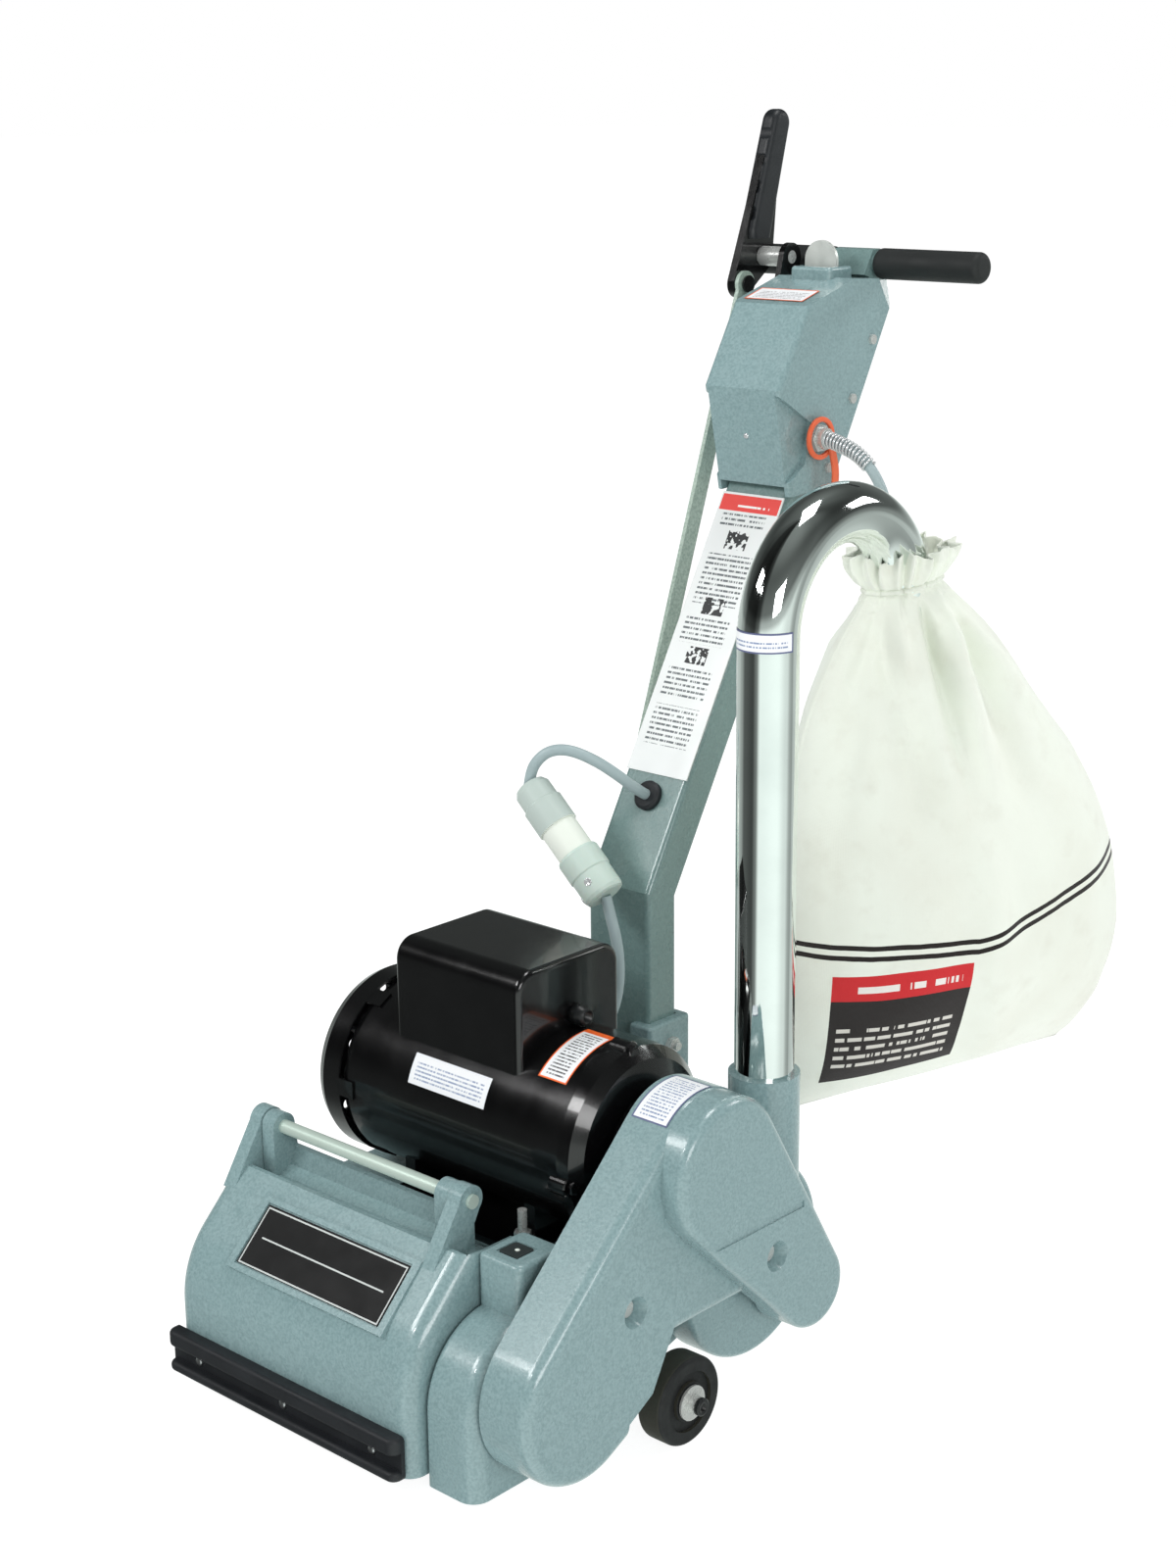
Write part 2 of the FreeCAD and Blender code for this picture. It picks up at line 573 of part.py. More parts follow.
# ---------------------------------------------------------------- motor
def make_motor():
    left = SHELL_LEFT
    right = SHELL_RIGHT
    nodes["motor_shell"] = tube(MOTOR_RADIUS, MOTOR_RADIUS - SHELL_WALL, left, right, MOTOR_Y, MOTOR_Z)
    core_left = left + 30
    core_right = right - 30
    bore = 50.0
    stator = tube(MOTOR_RADIUS - SHELL_WALL, bore, core_left, core_right, MOTOR_Y, MOTOR_Z)
    turns = [tube(72, bore + 4, x0, x0 + 16, MOTOR_Y, MOTOR_Z) for x0 in (core_left - 16, core_right)]
    nodes["motor_stator"] = Part.makeCompound([stator] + turns)
    cover_end = left - FAN_COVER_GAP - FAN_COVER_LENGTH
    shaft_right = FAN_BELT_X + FAN_BELT_WIDTH + 4
    shaft = rod(SHAFT_RADIUS, cover_end + 8, shaft_right, MOTOR_Y, MOTOR_Z)
    nodes["motor_rotor"] = fuse(rod(bore - 0.6, core_left, core_right, MOTOR_Y, MOTOR_Z), shaft)
    fan_x = cover_end + 7
    blades = [rod(20, fan_x, fan_x + 20, MOTOR_Y, MOTOR_Z), rod(66, fan_x + 17, fan_x + 20, MOTOR_Y, MOTOR_Z)]
    for k in range(7):
        blade = box(fan_x, fan_x + 18, MOTOR_Y - 1.5, MOTOR_Y + 1.5, MOTOR_Z + 15, MOTOR_Z + 66)
        blades.append(blade.rotate(V(0, MOTOR_Y, MOTOR_Z), V(1, 0, 0), 360 / 7 * k))
    fan = fuse(*blades)
    nodes["motor_fan"] = fan.cut(rod(SHAFT_RADIUS, fan_x - 5, fan_x + 30, MOTOR_Y, MOTOR_Z))
    hole = SHAFT_RADIUS + FIT
    outer = MOTOR_RADIUS
    nodes["drive_end_bell"] = turned(
        [(right, outer), (right + 12, outer - 1), (right + 21, outer - 10), (right + END_BELL, 48),
         (right + END_BELL, hole), (right + 12, hole), (right + 12, 24), (right + 20, 30),
         (right + 15, 66), (right + 8, outer - 8), (right, outer - 5)], 0, MOTOR_Y, MOTOR_Z)
    nodes["fan_end_bell"] = turned(
        [(left, outer), (left - 8, outer - 3), (left - 12, 40), (left - 12, hole), (left + 4, hole),
         (left + 4, 24), (left - 5, 30), (left - 3, outer - 10), (left, outer - 5)], 0, MOTOR_Y, MOTOR_Z)
    make_fan_cover(left, cover_end)
    shell = rod(MOTOR_RADIUS, left - 5, right + 5, MOTOR_Y, MOTOR_Z)
    base_top = DECK_Z + DECK_THICKNESS + 6
    base = [box(left + 33, right - 35, MOTOR_Y - 80, MOTOR_Y + 79, base_top - 6, base_top)]
    for x0 in (left + 45, right - 60):
        base.append(box(x0, x0 + 12, MOTOR_Y - 58, MOTOR_Y + 58, base_top - 1, MOTOR_Z - 55))
    nodes["motor_base"] = fuse(*base).cut(shell)
    cover = box(CAP_X0, CAP_X1, CAP_Y0, CAP_Y1, MOTOR_Z + 45, CAP_TOP)
    cover = fillet(cover, 19.0, lambda bb: bb.ZMin > CAP_TOP - 1 and bb.XLength > 50)
    cover = fillet(cover, 5.0, lambda bb: flat_in_x(bb, CAP_X0) or flat_in_x(bb, CAP_X1))
    skin = 2.5
    hollow = box(CAP_X0 + skin, CAP_X1 - skin, CAP_Y0 + skin, CAP_Y1 - skin, MOTOR_Z, CAP_TOP - skin)
    hollow = fillet(hollow, 16.5, lambda bb: bb.ZMin > CAP_TOP - skin - 1 and bb.XLength > 50)
    nodes["capacitor_cover"] = cover.cut(hollow).cut(shell)
    can = 23.0
    nodes["start_capacitor"] = rod(can, CAP_X0 + 18, CAP_X1 - 24, MOTOR_Y, MOTOR_Z + MOTOR_RADIUS + can + 0.5)
    nodes["motor_pulley"] = pulley([(DRUM_BELT_X, BELT_WIDTH, MOTOR_PULLEY),
                                    (FAN_BELT_X, FAN_BELT_WIDTH, MOTOR_PULLEY)], MOTOR_Y, MOTOR_Z, SHAFT_RADIUS)


def make_fan_cover(left, end):
    """A pressed cup over the cooling fan; air leaves through the gap beside the shell."""
    r = FAN_COVER_RADIUS
    start = left - FAN_COVER_GAP - 6
    cup = turned([(start, r), (end + 12, r), (end + 4, r - 4), (end, r - 14), (end, 12), (end + 2.5, 12),
                  (end + 2.5, r - 16), (end + 6, r - 7), (end + 13, r - 3), (start, r - 3)], 0, MOTOR_Y, MOTOR_Z)
    legs = []
    for k in range(6):
        leg = box(start - 4, left + 8, MOTOR_Y - 8, MOTOR_Y + 8, MOTOR_Z + MOTOR_RADIUS, MOTOR_Z + r - 0.2)
        legs.append(leg.rotate(V(0, MOTOR_Y, MOTOR_Z), V(1, 0, 0), 60 * k + 30))
    cup = fuse(cup, *legs).cut(rod(MOTOR_RADIUS, left - 30, left + 30, MOTOR_Y, MOTOR_Z)
                               .cut(rod(r + 5, left - 30, left - 12, MOTOR_Y, MOTOR_Z)))
    for ring, count in ((26, 8), (44, 14), (60, 20)):
        for k in range(count):
            turn = 2 * math.pi * k / count
            y = MOTOR_Y + ring * math.cos(turn)
            z = MOTOR_Z + ring * math.sin(turn)
            cup = cup.cut(rod(4.5, end - 1, end + 4, y, z))
    nodes["fan_cover"] = cup


# ---------------------------------------------------------------- belts and their guard
def make_belts():
    drum = (DRUM_Y, DRUM_Z, DRUM_PULLEY)
    motor = (MOTOR_Y, MOTOR_Z, MOTOR_PULLEY)
    blower = (BLOWER_Y, BLOWER_Z, BLOWER_PULLEY)
    x1 = DRUM_BELT_X + BELT_WIDTH
    loop = hull([drum, motor], DRUM_BELT_X, x1, BELT_THICKNESS)
    nodes["drum_belt"] = loop.cut(hull([drum, motor], DRUM_BELT_X - 1, x1 + 1))
    x1 = FAN_BELT_X + FAN_BELT_WIDTH
    loop = hull([blower, motor], FAN_BELT_X, x1, BELT_THICKNESS)
    nodes["fan_belt"] = loop.cut(hull([blower, motor], FAN_BELT_X - 1, x1 + 1))


def guard_arch(lift):
    """What is cut away under the guard, for the wheel."""
    low = -20
    return prism([(WHEEL_Y - 82, low), (WHEEL_Y - 70, 46 + lift), (WHEEL_Y - 42, 62 + lift),
                  (WHEEL_Y - 19 - lift, 104 + lift), (200, 104 + lift), (200, low)], GUARD_X0 - 2, GUARD_X1 + 1)


def make_guard():
    front = (FRONT_LOBE_Y, FRONT_LOBE_Z, FRONT_LOBE)
    heel = (WHEEL_Y + 77, 118.0, 14.0)
    crown = (MOTOR_Y + 2, MOTOR_Z, TOP_LOBE)
    rear = (REAR_LOBE_Y, REAR_LOBE_Z, REAR_LOBE)
    arch = guard_arch(0)
    case = hull([front, heel, crown], GUARD_X0, GUARD_X1)
    case = case.cut(arch)
    case = fillet(case, 11.0, lambda bb: flat_in_x(bb, GUARD_X1) and bb.DiagonalLength > 30 and bb.ZMin > 103.9)
    raised = hull([rear, crown], GUARD_X1 - 8, GUARD_X2, -1.0)
    raised = fillet(raised, 9.0, lambda bb: flat_in_x(bb, GUARD_X2))
    cup = rod(REAR_LOBE - 1, VOLUTE_X1 + 3, GUARD_X1, REAR_LOBE_Y, REAR_LOBE_Z)
    inside = hull([front, heel, crown], GUARD_X0 - 1, GUARD_X1 - GUARD_WALL, -GUARD_WALL).cut(guard_arch(GUARD_WALL))
    inside_raised = hull([rear, crown], GUARD_X1 - 20, GUARD_X2 - GUARD_WALL, -1.0 - GUARD_WALL)
    inside_cup = rod(REAR_LOBE - 1 - GUARD_WALL, VOLUTE_X1, GUARD_X1, REAR_LOBE_Y, REAR_LOBE_Z)
    guard = fuse(case, raised, cup)
    guard = guard.cut(inside.fuse([inside_raised, inside_cup]))
    guard = guard.cut(rod(VOLUTE_RADIUS + 2.5, GUARD_X0 - 2, VOLUTE_X1 + 2.5, VOLUTE_Y, VOLUTE_Z))
    guard = guard.cut(post(PIPE_RADIUS + SOCKET_WALL + 2, PIPE_X, PIPE_Y, 60, SOCKET_TOP + 5))
    groove = box(GUARD_X2 - 1.3, GUARD_X2 + 1, MOTOR_Y - 26, MOTOR_Y + 96, 173, 179)
    guard = guard.cut(groove)
    screws = []
    for y, z, face in ((-51.0, 141.0, GUARD_X1), (100.0, 141.0, GUARD_X2)):
        guard = guard.fuse([rod(11, face - 26, face - 2, y, z), rod(16, face - 9, face - 2, y, z)])
        guard = guard.cut(rod(7.5, face - 14, face + 1, y, z))
        guard = guard.cut(Part.makeCone(7.5, 13.5, 12.0, V(face - 11.5, y, z), V(1, 0, 0)))
        guard = guard.cut(rod(4.1, face - 40, face, y, z))
        screws.append(rod(7, face - 14, face - 9, y, z).fuse(rod(4.0, face - 36, face - 10, y, z)))
    nodes["belt_guard"] = guard.removeSplitter()
    return screws


# ---------------------------------------------------------------- blower, pipe and bag
def make_blower():
    wall = 3.5
    socket = PIPE_RADIUS + SOCKET_WALL
    case = rod(VOLUTE_RADIUS, VOLUTE_X0, VOLUTE_X1, VOLUTE_Y, VOLUTE_Z)
    case = fillet(case, 6.0, lambda bb: bb.XLength < 0.1)
    case = fuse(case, post(socket, PIPE_X, PIPE_Y, DECK_Z + 4, SOCKET_TOP))
    boss = rod(15, VOLUTE_X1 - 1, VOLUTE_X1 + 8, BLOWER_Y, BLOWER_Z)
    case = fuse(case, boss)
    hollow = rod(VOLUTE_RADIUS - wall, VOLUTE_X0 + wall, VOLUTE_X1 - wall, VOLUTE_Y, VOLUTE_Z)
    hollow = hollow.fuse(post(PIPE_RADIUS - 4, PIPE_X, PIPE_Y, VOLUTE_Z + 40, SOCKET_TOP))
    case = case.cut(hollow)
    case = case.cut(post(PIPE_RADIUS, PIPE_X, PIPE_Y, SOCKET_TOP - 55, SOCKET_TOP + 1))
    case = case.cut(rod(INLET_RADIUS, VOLUTE_X0 - 1, VOLUTE_X0 + wall + 1, BLOWER_Y, BLOWER_Z))
    bearing = 12.0
    case = case.cut(rod(bearing, VOLUTE_X1 - wall - 1, VOLUTE_X1 + 9, BLOWER_Y, BLOWER_Z))
    nodes["blower_housing"] = case
    shaft = 6.0
    seat = tube(bearing, shaft + FIT, VOLUTE_X1 - wall, VOLUTE_X1 + 8, BLOWER_Y, BLOWER_Z)
    nodes["shaft_bearings"] = Part.makeCompound(nodes["shaft_bearings"].Solids + [seat])
    start = VOLUTE_X0 + wall + 5
    end = FAN_BELT_X + FAN_BELT_WIDTH + 4
    nodes["blower_shaft"] = rod(shaft, start, end, BLOWER_Y, BLOWER_Z)
    back = VOLUTE_X1 - wall - 5
    vanes = [rod(13, start + 2, back, BLOWER_Y, BLOWER_Z), rod(IMPELLER_RADIUS, back - 3, back, BLOWER_Y, BLOWER_Z)]
    for k in range(8):
        vane = box(start + 2, back - 1, BLOWER_Y - 1.5, BLOWER_Y + 1.5, BLOWER_Z + 11, BLOWER_Z + IMPELLER_RADIUS)
        vanes.append(vane.rotate(V(0, BLOWER_Y, BLOWER_Z), V(1, 0, 0), 45 * k))
    nodes["impeller"] = fuse(*vanes).cut(rod(shaft, start - 5, end, BLOWER_Y, BLOWER_Z))
    nodes["blower_pulley"] = pulley([(FAN_BELT_X, FAN_BELT_WIDTH, BLOWER_PULLEY)], BLOWER_Y, BLOWER_Z, shaft)


def pipe_solid(radius):
    low = V(PIPE_X, PIPE_Y, SOCKET_TOP - 55)
    rise = V(PIPE_X, PIPE_Y, PIPE_BEND_Z)
    over = V(PIPE_X, PIPE_Y + PIPE_BEND, PIPE_BEND_Z + PIPE_BEND)
    fall = V(PIPE_X, PIPE_Y + 2 * PIPE_BEND, PIPE_BEND_Z)
    end = fall - V(0, 0, PIPE_TAIL)
    path = Part.Wire([Part.LineSegment(low, rise).toShape(), Part.Arc(rise, over, fall).toShape(),
                      Part.LineSegment(fall, end).toShape()])
    section = Part.Wire([Part.Circle(low, V(0, 0, 1), radius).toShape()])
    return path.makePipeShell([section], True, True)


def make_pipe_and_bag():
    outer = pipe_solid(PIPE_RADIUS)
    nodes["exhaust_pipe"] = outer.cut(pipe_solid(PIPE_RADIUS - PIPE_WALL))
    heading = 60.0
    sections = [
        # height, shift along the bag's width, half width, half thickness, tilt
        (688, -42, 50, 42, 0),
        (664, -43, 36, 34, 0),
        (625, -37, 62, 48, 0),
        (556, -20, 101, 72, 1),
        (500, -6, 130, 88, 2),
        (430, 4, 154, 99, 3),
        (330, 11, 166, 102, 4),
        (262, 4, 160, 80, 6),
        (216, -4, 138, 34, 7.5),
    ]
    wires = []
    for height, along, half_width, half_thick, tilt in sections:
        ring = Part.Ellipse(V(0, 0, 0), half_width, half_thick).toShape()
        ring.rotate(V(0, 0, 0), V(0, 1, 0), -tilt)
        ring.translate(V(along, 0, 0))
        ring.rotate(V(0, 0, 0), V(0, 0, 1), heading)
        ring.translate(V(BAG_X, BAG_Y, height))
        wires.append(Part.Wire([ring]))
    bag = Part.makeLoft(wires, True, False)
    nodes["dust_bag"] = bag.cut(outer)


# ---------------------------------------------------------------- column
def lean(y, z, along, across=0.0):
    """A (y, z) point moved along and behind the leaning part of the column."""
    turn = math.radians(COLUMN_LEAN)
    return (y + along * math.sin(turn) + across * math.cos(turn),
            z + along * math.cos(turn) - across * math.sin(turn))


def column_outline(inset, low, high):
    turn = math.radians(COLUMN_LEAN)
    front = COLUMN_FRONT + inset
    depth = COLUMN_DEPTH - 2 * inset
    knee = (front, KNEE_Z - inset * math.tan(turn / 2))
    length = (high - KNEE_Z) / math.cos(turn)
    back_knee = (front + depth, knee[1] - depth * math.tan(turn / 2))
    return [(front, low), knee, lean(*knee, length), lean(*knee, length, depth), back_knee, (front + depth, low)]


def make_column():
    low = DECK_Z + DECK_THICKNESS
    half = COLUMN_WIDTH / 2
    outer = prism(column_outline(0, low, COLUMN_TOP_Z), COLUMN_X - half, COLUMN_X + half)
    outer = fillet(outer, 5.0, lambda bb: bb.XLength < 0.1 and bb.ZLength > 100)
    hollow = prism(column_outline(COLUMN_WALL, low - 20, COLUMN_TOP_Z + 40),
                   COLUMN_X - half + COLUMN_WALL, COLUMN_X + half - COLUMN_WALL)
    column = outer.cut(hollow)
    turn = math.radians(COLUMN_LEAN)
    out = V(0, -math.cos(turn), math.sin(turn))
    face_y, face_z = lean(COLUMN_FRONT, KNEE_Z, (GROMMET_Z - KNEE_Z) / math.cos(turn))
    face = V(COLUMN_X, face_y, face_z)
    column = column.cut(Part.makeCylinder(9, 12, face - out * 6, out))
    seat = COLUMN_WALL + 2
    ring = [(-seat, LEAD_RADIUS - 1), (-seat, 9), (0, 9), (0, 13.5), (4, 13.5), (6, 11), (6, LEAD_RADIUS - 1)]
    nodes["cable_grommet"] = turned(ring, face.x, face.y, face.z, out)
    plate_low = lean(COLUMN_FRONT, KNEE_Z, (PANEL_LOW - KNEE_Z) / math.cos(turn))
    plate_high = lean(COLUMN_FRONT, KNEE_Z, (HOUSING_LOW - 2 - KNEE_Z) / math.cos(turn))
    thick = -1.2
    plate = prism([plate_low, plate_high, lean(*plate_high, 0, thick), lean(*plate_low, 0, thick)],
                  COLUMN_X - half + 1, COLUMN_X + half - 1)
    nodes["column_panel"] = plate
    top = low + 126
    clamp = 9.0
    bracket = rounded_box(COLUMN_X - half - clamp, COLUMN_X + half + clamp, COLUMN_FRONT - clamp,
                          COLUMN_FRONT + COLUMN_DEPTH + clamp, low, top, 5)
    bracket = bracket.cut(prism(column_outline(0, low - 5, COLUMN_TOP_Z), COLUMN_X - half, COLUMN_X + half))
    bracket = bracket.cut(box(COLUMN_X - half + 14, COLUMN_X + half - 14, COLUMN_FRONT - 20, COLUMN_FRONT, low + 20, top + 1))
    bolts = []
    mid_y = COLUMN_FRONT + COLUMN_DEPTH / 2
    for z in (low + 35, top - 22):
        left = COLUMN_X - half - clamp
        right = COLUMN_X + half + clamp
        bolts.append(fuse(rod(4, left - 10, right + 10, mid_y, z),
                          hex_head(7.5, 6, V(right, mid_y, z), V(1, 0, 0)),
                          hex_head(7.5, 6, V(left, mid_y, z), V(-1, 0, 0))))
        column = column.cut(rod(4, left, right, mid_y, z))
        bracket = bracket.cut(rod(4, left - 1, right + 1, mid_y, z))
    nodes["handle_column"] = column
    nodes["column_bracket"] = bracket
    return bolts, face + out * 6, out


# ---------------------------------------------------------------- switch housing and T-handle
def housing_outline(inset):
    low = HOUSING_LOW
    return [(371 + inset * 1.2, low - inset * 8), (351.5 + inset, low + 96), (393 + inset * 0.6, low + 167 - inset),
            (460, low + 187 - inset), (497 - inset, low + 185 - inset), (514 - inset, low + 157),
            (431 - inset, low + 4 - inset * 8)]


def make_housing():
    half = HOUSING_WIDTH / 2
    wall = 3.5
    outer = prism(housing_outline(0), COLUMN_X - half - 2, COLUMN_X + half + 2)
    outer = fillet(outer, 5.0, lambda bb: bb.XLength < 0.1 and bb.YMax < 394)
    waist = COLUMN_WIDTH / 2 + 2
    neck = [(300, HOUSING_LOW + 94), (352, HOUSING_LOW + 92), (399, HOUSING_LOW + 64), (391, HOUSING_LOW + 28),
            (366, HOUSING_LOW + 10), (300, HOUSING_LOW + 10)]
    outer = outer.cut(prism(neck, COLUMN_X + waist, COLUMN_X + 80))
    outer = outer.cut(prism(neck, COLUMN_X - 80, COLUMN_X - waist))
    inner = prism(housing_outline(wall), COLUMN_X - COLUMN_WIDTH / 2 - 0.5, COLUMN_X + COLUMN_WIDTH / 2 + 0.5)
    shell = outer.cut(inner)
    boss = rounded_box(COLUMN_X - 25, COLUMN_X + 21, 452, 488, HOUSING_LOW + 180, HOUSING_LOW + 196, 5)
    slot = box(SWITCH_X - 19, SWITCH_X + 19, SWITCH_Y - 9.5, SWITCH_Y + 9.5, HOUSING_LOW + 170, HOUSING_LOW + 200)
    shell = fuse(shell, boss.cut(inner)).cut(slot)
    nodes["switch_housing"] = shell
    pin = 2.5
    seat = box(SWITCH_X - 24, SWITCH_X + 24, SWITCH_Y - 15, SWITCH_Y + 15, HOUSING_LOW + 148, HOUSING_LOW + 168)
    ears = [box(x0, x0 + 4, SWITCH_Y - 6, SWITCH_Y + 6, HOUSING_LOW + 166, SWITCH_Z + 4.5)
            for x0 in (SWITCH_X - 24, SWITCH_X + 20)]
    nodes["switch_body"] = fuse(seat, *ears).cut(rod(pin + FIT, SWITCH_X - 30, SWITCH_X + 30, SWITCH_Y, SWITCH_Z))
    disc = Part.makeCylinder(18, 3, V(SWITCH_X, SWITCH_Y - 1.5, SWITCH_Z + 24), V(0, 1, 0))
    stem = box(SWITCH_X - 18, SWITCH_X + 18, SWITCH_Y - 1.5, SWITCH_Y + 1.5, SWITCH_Z, SWITCH_Z + 24)
    nodes["switch_paddle"] = fuse(disc, stem, rod(4.5, SWITCH_X - 18, SWITCH_X + 18, SWITCH_Y, SWITCH_Z),
                                  rod(pin, SWITCH_X - 23.5, SWITCH_X + 23.5, SWITCH_Y, SWITCH_Z))
    screws = []
    for y, z in ((488.0, 846.0), (459.0, 795.0), (425.0, 736.0)):
        screws.append(rod(4.5, COLUMN_X + half + 2, COLUMN_X + half + 4.5, y, z))
        screws.append(rod(4.5, COLUMN_X - half - 4.5, COLUMN_X - half - 2, y, z))
    return screws


def make_handle():
    left = TBAR_X - TBAR_LENGTH / 2
    right = TBAR_X + TBAR_LENGTH / 2
    bar = rod(TBAR_RADIUS, left + 4, right - 4, TBAR_Y, TBAR_Z)
    grip_in = TBAR_X - 22
    grip_out = TBAR_X + 22
    yoke = prism([(492, 903), (505, 925), (522, 922), (529, 905), (520.5, 876), (516, 868), (514.5, 873), (499, 901)],
                 COLUMN_X - 36, COLUMN_X + 40)
    for x_top, x_low, x_far in ((grip_in, COLUMN_X - 40, -60), (grip_out, COLUMN_X + 44, 120)):
        wedge = [V(x_top, 450, 960), V(x_top, 450, TBAR_Z - 15), V(x_low, 450, 862), V(x_far, 450, 862), V(x_far, 450, 960)]
        yoke = yoke.cut(Part.Face(Part.makePolygon(wedge + wedge[:1])).extrude(V(0, 100, 0)))
    nodes["t_handle"] = fuse(bar, yoke, rod(GRIP_RADIUS - 0.5, grip_in, grip_out, TBAR_Y, TBAR_Z))
    grips = []
    for x0 in (left, right - GRIP_LENGTH):
        grip = fillet(rod(GRIP_RADIUS, x0, x0 + GRIP_LENGTH, TBAR_Y, TBAR_Z), 6.0, lambda bb: bb.XLength < 0.1)
        grips.append(grip.cut(rod(TBAR_RADIUS, left + 4, right - 4, TBAR_Y, TBAR_Z)))
    nodes["handle_grips"] = Part.makeCompound(grips)


# ---------------------------------------------------------------- lift lever, link and truck
def make_lever():
    x0 = LEVER_X - LEVER_THICKNESS / 2
    x1 = LEVER_X + LEVER_THICKNESS / 2
    top = (LEVER_Y + 18, LEVER_Z + 112, 8)
    bar = hull([(LINK_TOP_Y, LINK_TOP_Z, 13), (LEVER_Y, LEVER_Z, 15), top], x0, x1)
    bolt = 6.0
    pin = rod(LINK_PIN, x1 - 1, x1 + LINK_THICKNESS + 3, LINK_TOP_Y, LINK_TOP_Z)
    head = rod(LINK_PIN + 3, x1 + LINK_THICKNESS + 2, x1 + LINK_THICKNESS + 4, LINK_TOP_Y, LINK_TOP_Z)
    lever = fuse(bar, pin, head).cut(rod(bolt + FIT, x0 - 1, x1 + 1, LEVER_Y, LEVER_Z))
    nodes["lift_lever"] = lever
    grip_low = lever_place(20, -9)
    grip_top = lever_place(122, -10)
    half = LEVER_GRIP_WIDTH / 2
    grip = hull([(*grip_low, 15), (*grip_top, 12.5)], LEVER_X - half, LEVER_X + half)
    grip = fillet(grip, 6.0, lambda bb: flat_in_x(bb, LEVER_X - half) or flat_in_x(bb, LEVER_X + half))
    foot = lever_place(17, 0)
    grip = grip.cut(box(LEVER_X - 20, LEVER_X + 20, foot[0] - 80, foot[0] + 80, foot[1] - 60, foot[1]))
    for k in range(4):
        y, z = lever_place(34 + 25 * k, -34)
        grip = grip.cut(rod(12.5, LEVER_X - 20, LEVER_X + 20, y, z))
    nodes["lift_lever_grip"] = grip.cut(bar)
    inner = COLUMN_X - HOUSING_WIDTH / 2 - 2
    bracket = hull([(LEVER_Y - 14, LEVER_Z - 50, 12), (LEVER_Y, LEVER_Z, 13)], inner - 6, inner)
    bracket = bracket.cut(rod(bolt, inner - 7, inner + 1, LEVER_Y, LEVER_Z))
    nodes["lever_bracket"] = bracket
    shank = rod(bolt, x0 - 1.5, inner, LEVER_Y, LEVER_Z)
    spacer = rod(bolt + 3, x1 + 0.5, inner - 6, LEVER_Y, LEVER_Z)
    nodes["lever_pivot_bolt"] = fuse(shank, spacer, hex_head(10, 6, V(x0 - 1, LEVER_Y, LEVER_Z), V(-1, 0, 0)))


def lever_place(along, behind):
    """A (y, z) place on the lever's grip, measured up from the pivot."""
    turn = math.radians(LEVER_TILT)
    return (LEVER_Y - 3 + along * math.sin(turn) + behind * math.cos(turn),
            LEVER_Z + along * math.cos(turn) - behind * math.sin(turn))


def make_link():
    x0 = LEVER_X + LEVER_THICKNESS / 2 + 0.5
    x1 = x0 + LINK_THICKNESS
    heading = math.atan2(LINK_TOP_Z - LINK_LOW_Z, LINK_TOP_Y - LINK_LOW_Y)
    out = V(0, math.sin(heading), -math.cos(heading)) * 9
    low = V(x0, LINK_LOW_Y, LINK_LOW_Z)
    high = V(x0, LINK_TOP_Y, LINK_TOP_Z)
    loop = [low + out, high + out, high - out, low - out]
    bar = Part.Face(Part.makePolygon(loop + loop[:1])).extrude(V(LINK_THICKNESS, 0, 0))
    link = fuse(bar, rod(12, x0, x1, LINK_TOP_Y, LINK_TOP_Z), rod(14, x0, x1, LINK_LOW_Y, LINK_LOW_Z))
    link = link.cut(rod(LINK_PIN + FIT, x0 - 1, x1 + 1, LINK_TOP_Y, LINK_TOP_Z))
    nodes["lift_link"] = link.cut(rod(LINK_PIN + OPEN_PIVOT, x0 - 1, x1 + 1, LINK_LOW_Y, LINK_LOW_Z))
    return x0, x1


def make_truck(link_x0, link_x1):
    axle_z = WHEEL_RADIUS
    parts = [rod(AXLE_RADIUS, -158, VOLUTE_X0 - 7, TRUCK_Y, TRUCK_Z)]
    for x0 in (-156, VOLUTE_X0 - 16):
        parts.append(hull([(WHEEL_Y, axle_z, 14), (TRUCK_Y, TRUCK_Z, 16)], x0, x0 + 7))
    arm = link_x0 - 13
    parts.append(hull([(TRUCK_Y, TRUCK_Z, 14), (LINK_LOW_Y, LINK_LOW_Z, 12)], arm, arm + 8))
    parts.append(rod(LINK_PIN, arm, link_x1 + 4, LINK_LOW_Y, LINK_LOW_Z))
    parts.append(rod(LINK_PIN + 5, link_x1 + 1.5, link_x1 + 4, LINK_LOW_Y, LINK_LOW_Z))
    nodes["truck_frame"] = fuse(*parts).cut(rod(AXLE_RADIUS, -300, 300, WHEEL_Y, axle_z))
    left = WHEEL_LEFT_X
    right = WHEEL_RIGHT_X + WHEEL_WIDTH
    axle = [rod(AXLE_RADIUS, left - 6, right + 6, WHEEL_Y, axle_z)]
    for x0, side in ((left - 1, -1), (right + 1, 1)):
        axle.append(rod(15, min(x0, x0 + side * 2), max(x0, x0 + side * 2), WHEEL_Y, axle_z))
        axle.append(rod(7.5, min(x0, x0 + side * 9), max(x0, x0 + side * 9), WHEEL_Y, axle_z))
    nodes["wheel_axle"] = fuse(*axle)
    for name, x0 in (("left_wheel", left), ("right_wheel", WHEEL_RIGHT_X)):
        wheel = rod(WHEEL_RADIUS, x0, x0 + WHEEL_WIDTH, WHEEL_Y, axle_z)
        wheel = fillet(wheel, 4.0, lambda bb: bb.XLength < 0.1)
        for face in (x0 - 1, x0 + WHEEL_WIDTH - 3):
            wheel = wheel.cut(tube(26, 17, face, face + 4, WHEEL_Y, axle_z))
        nodes[name] = wheel.cut(rod(AXLE_RADIUS + FIT, x0 - 1, x0 + WHEEL_WIDTH + 1, WHEEL_Y, axle_z))


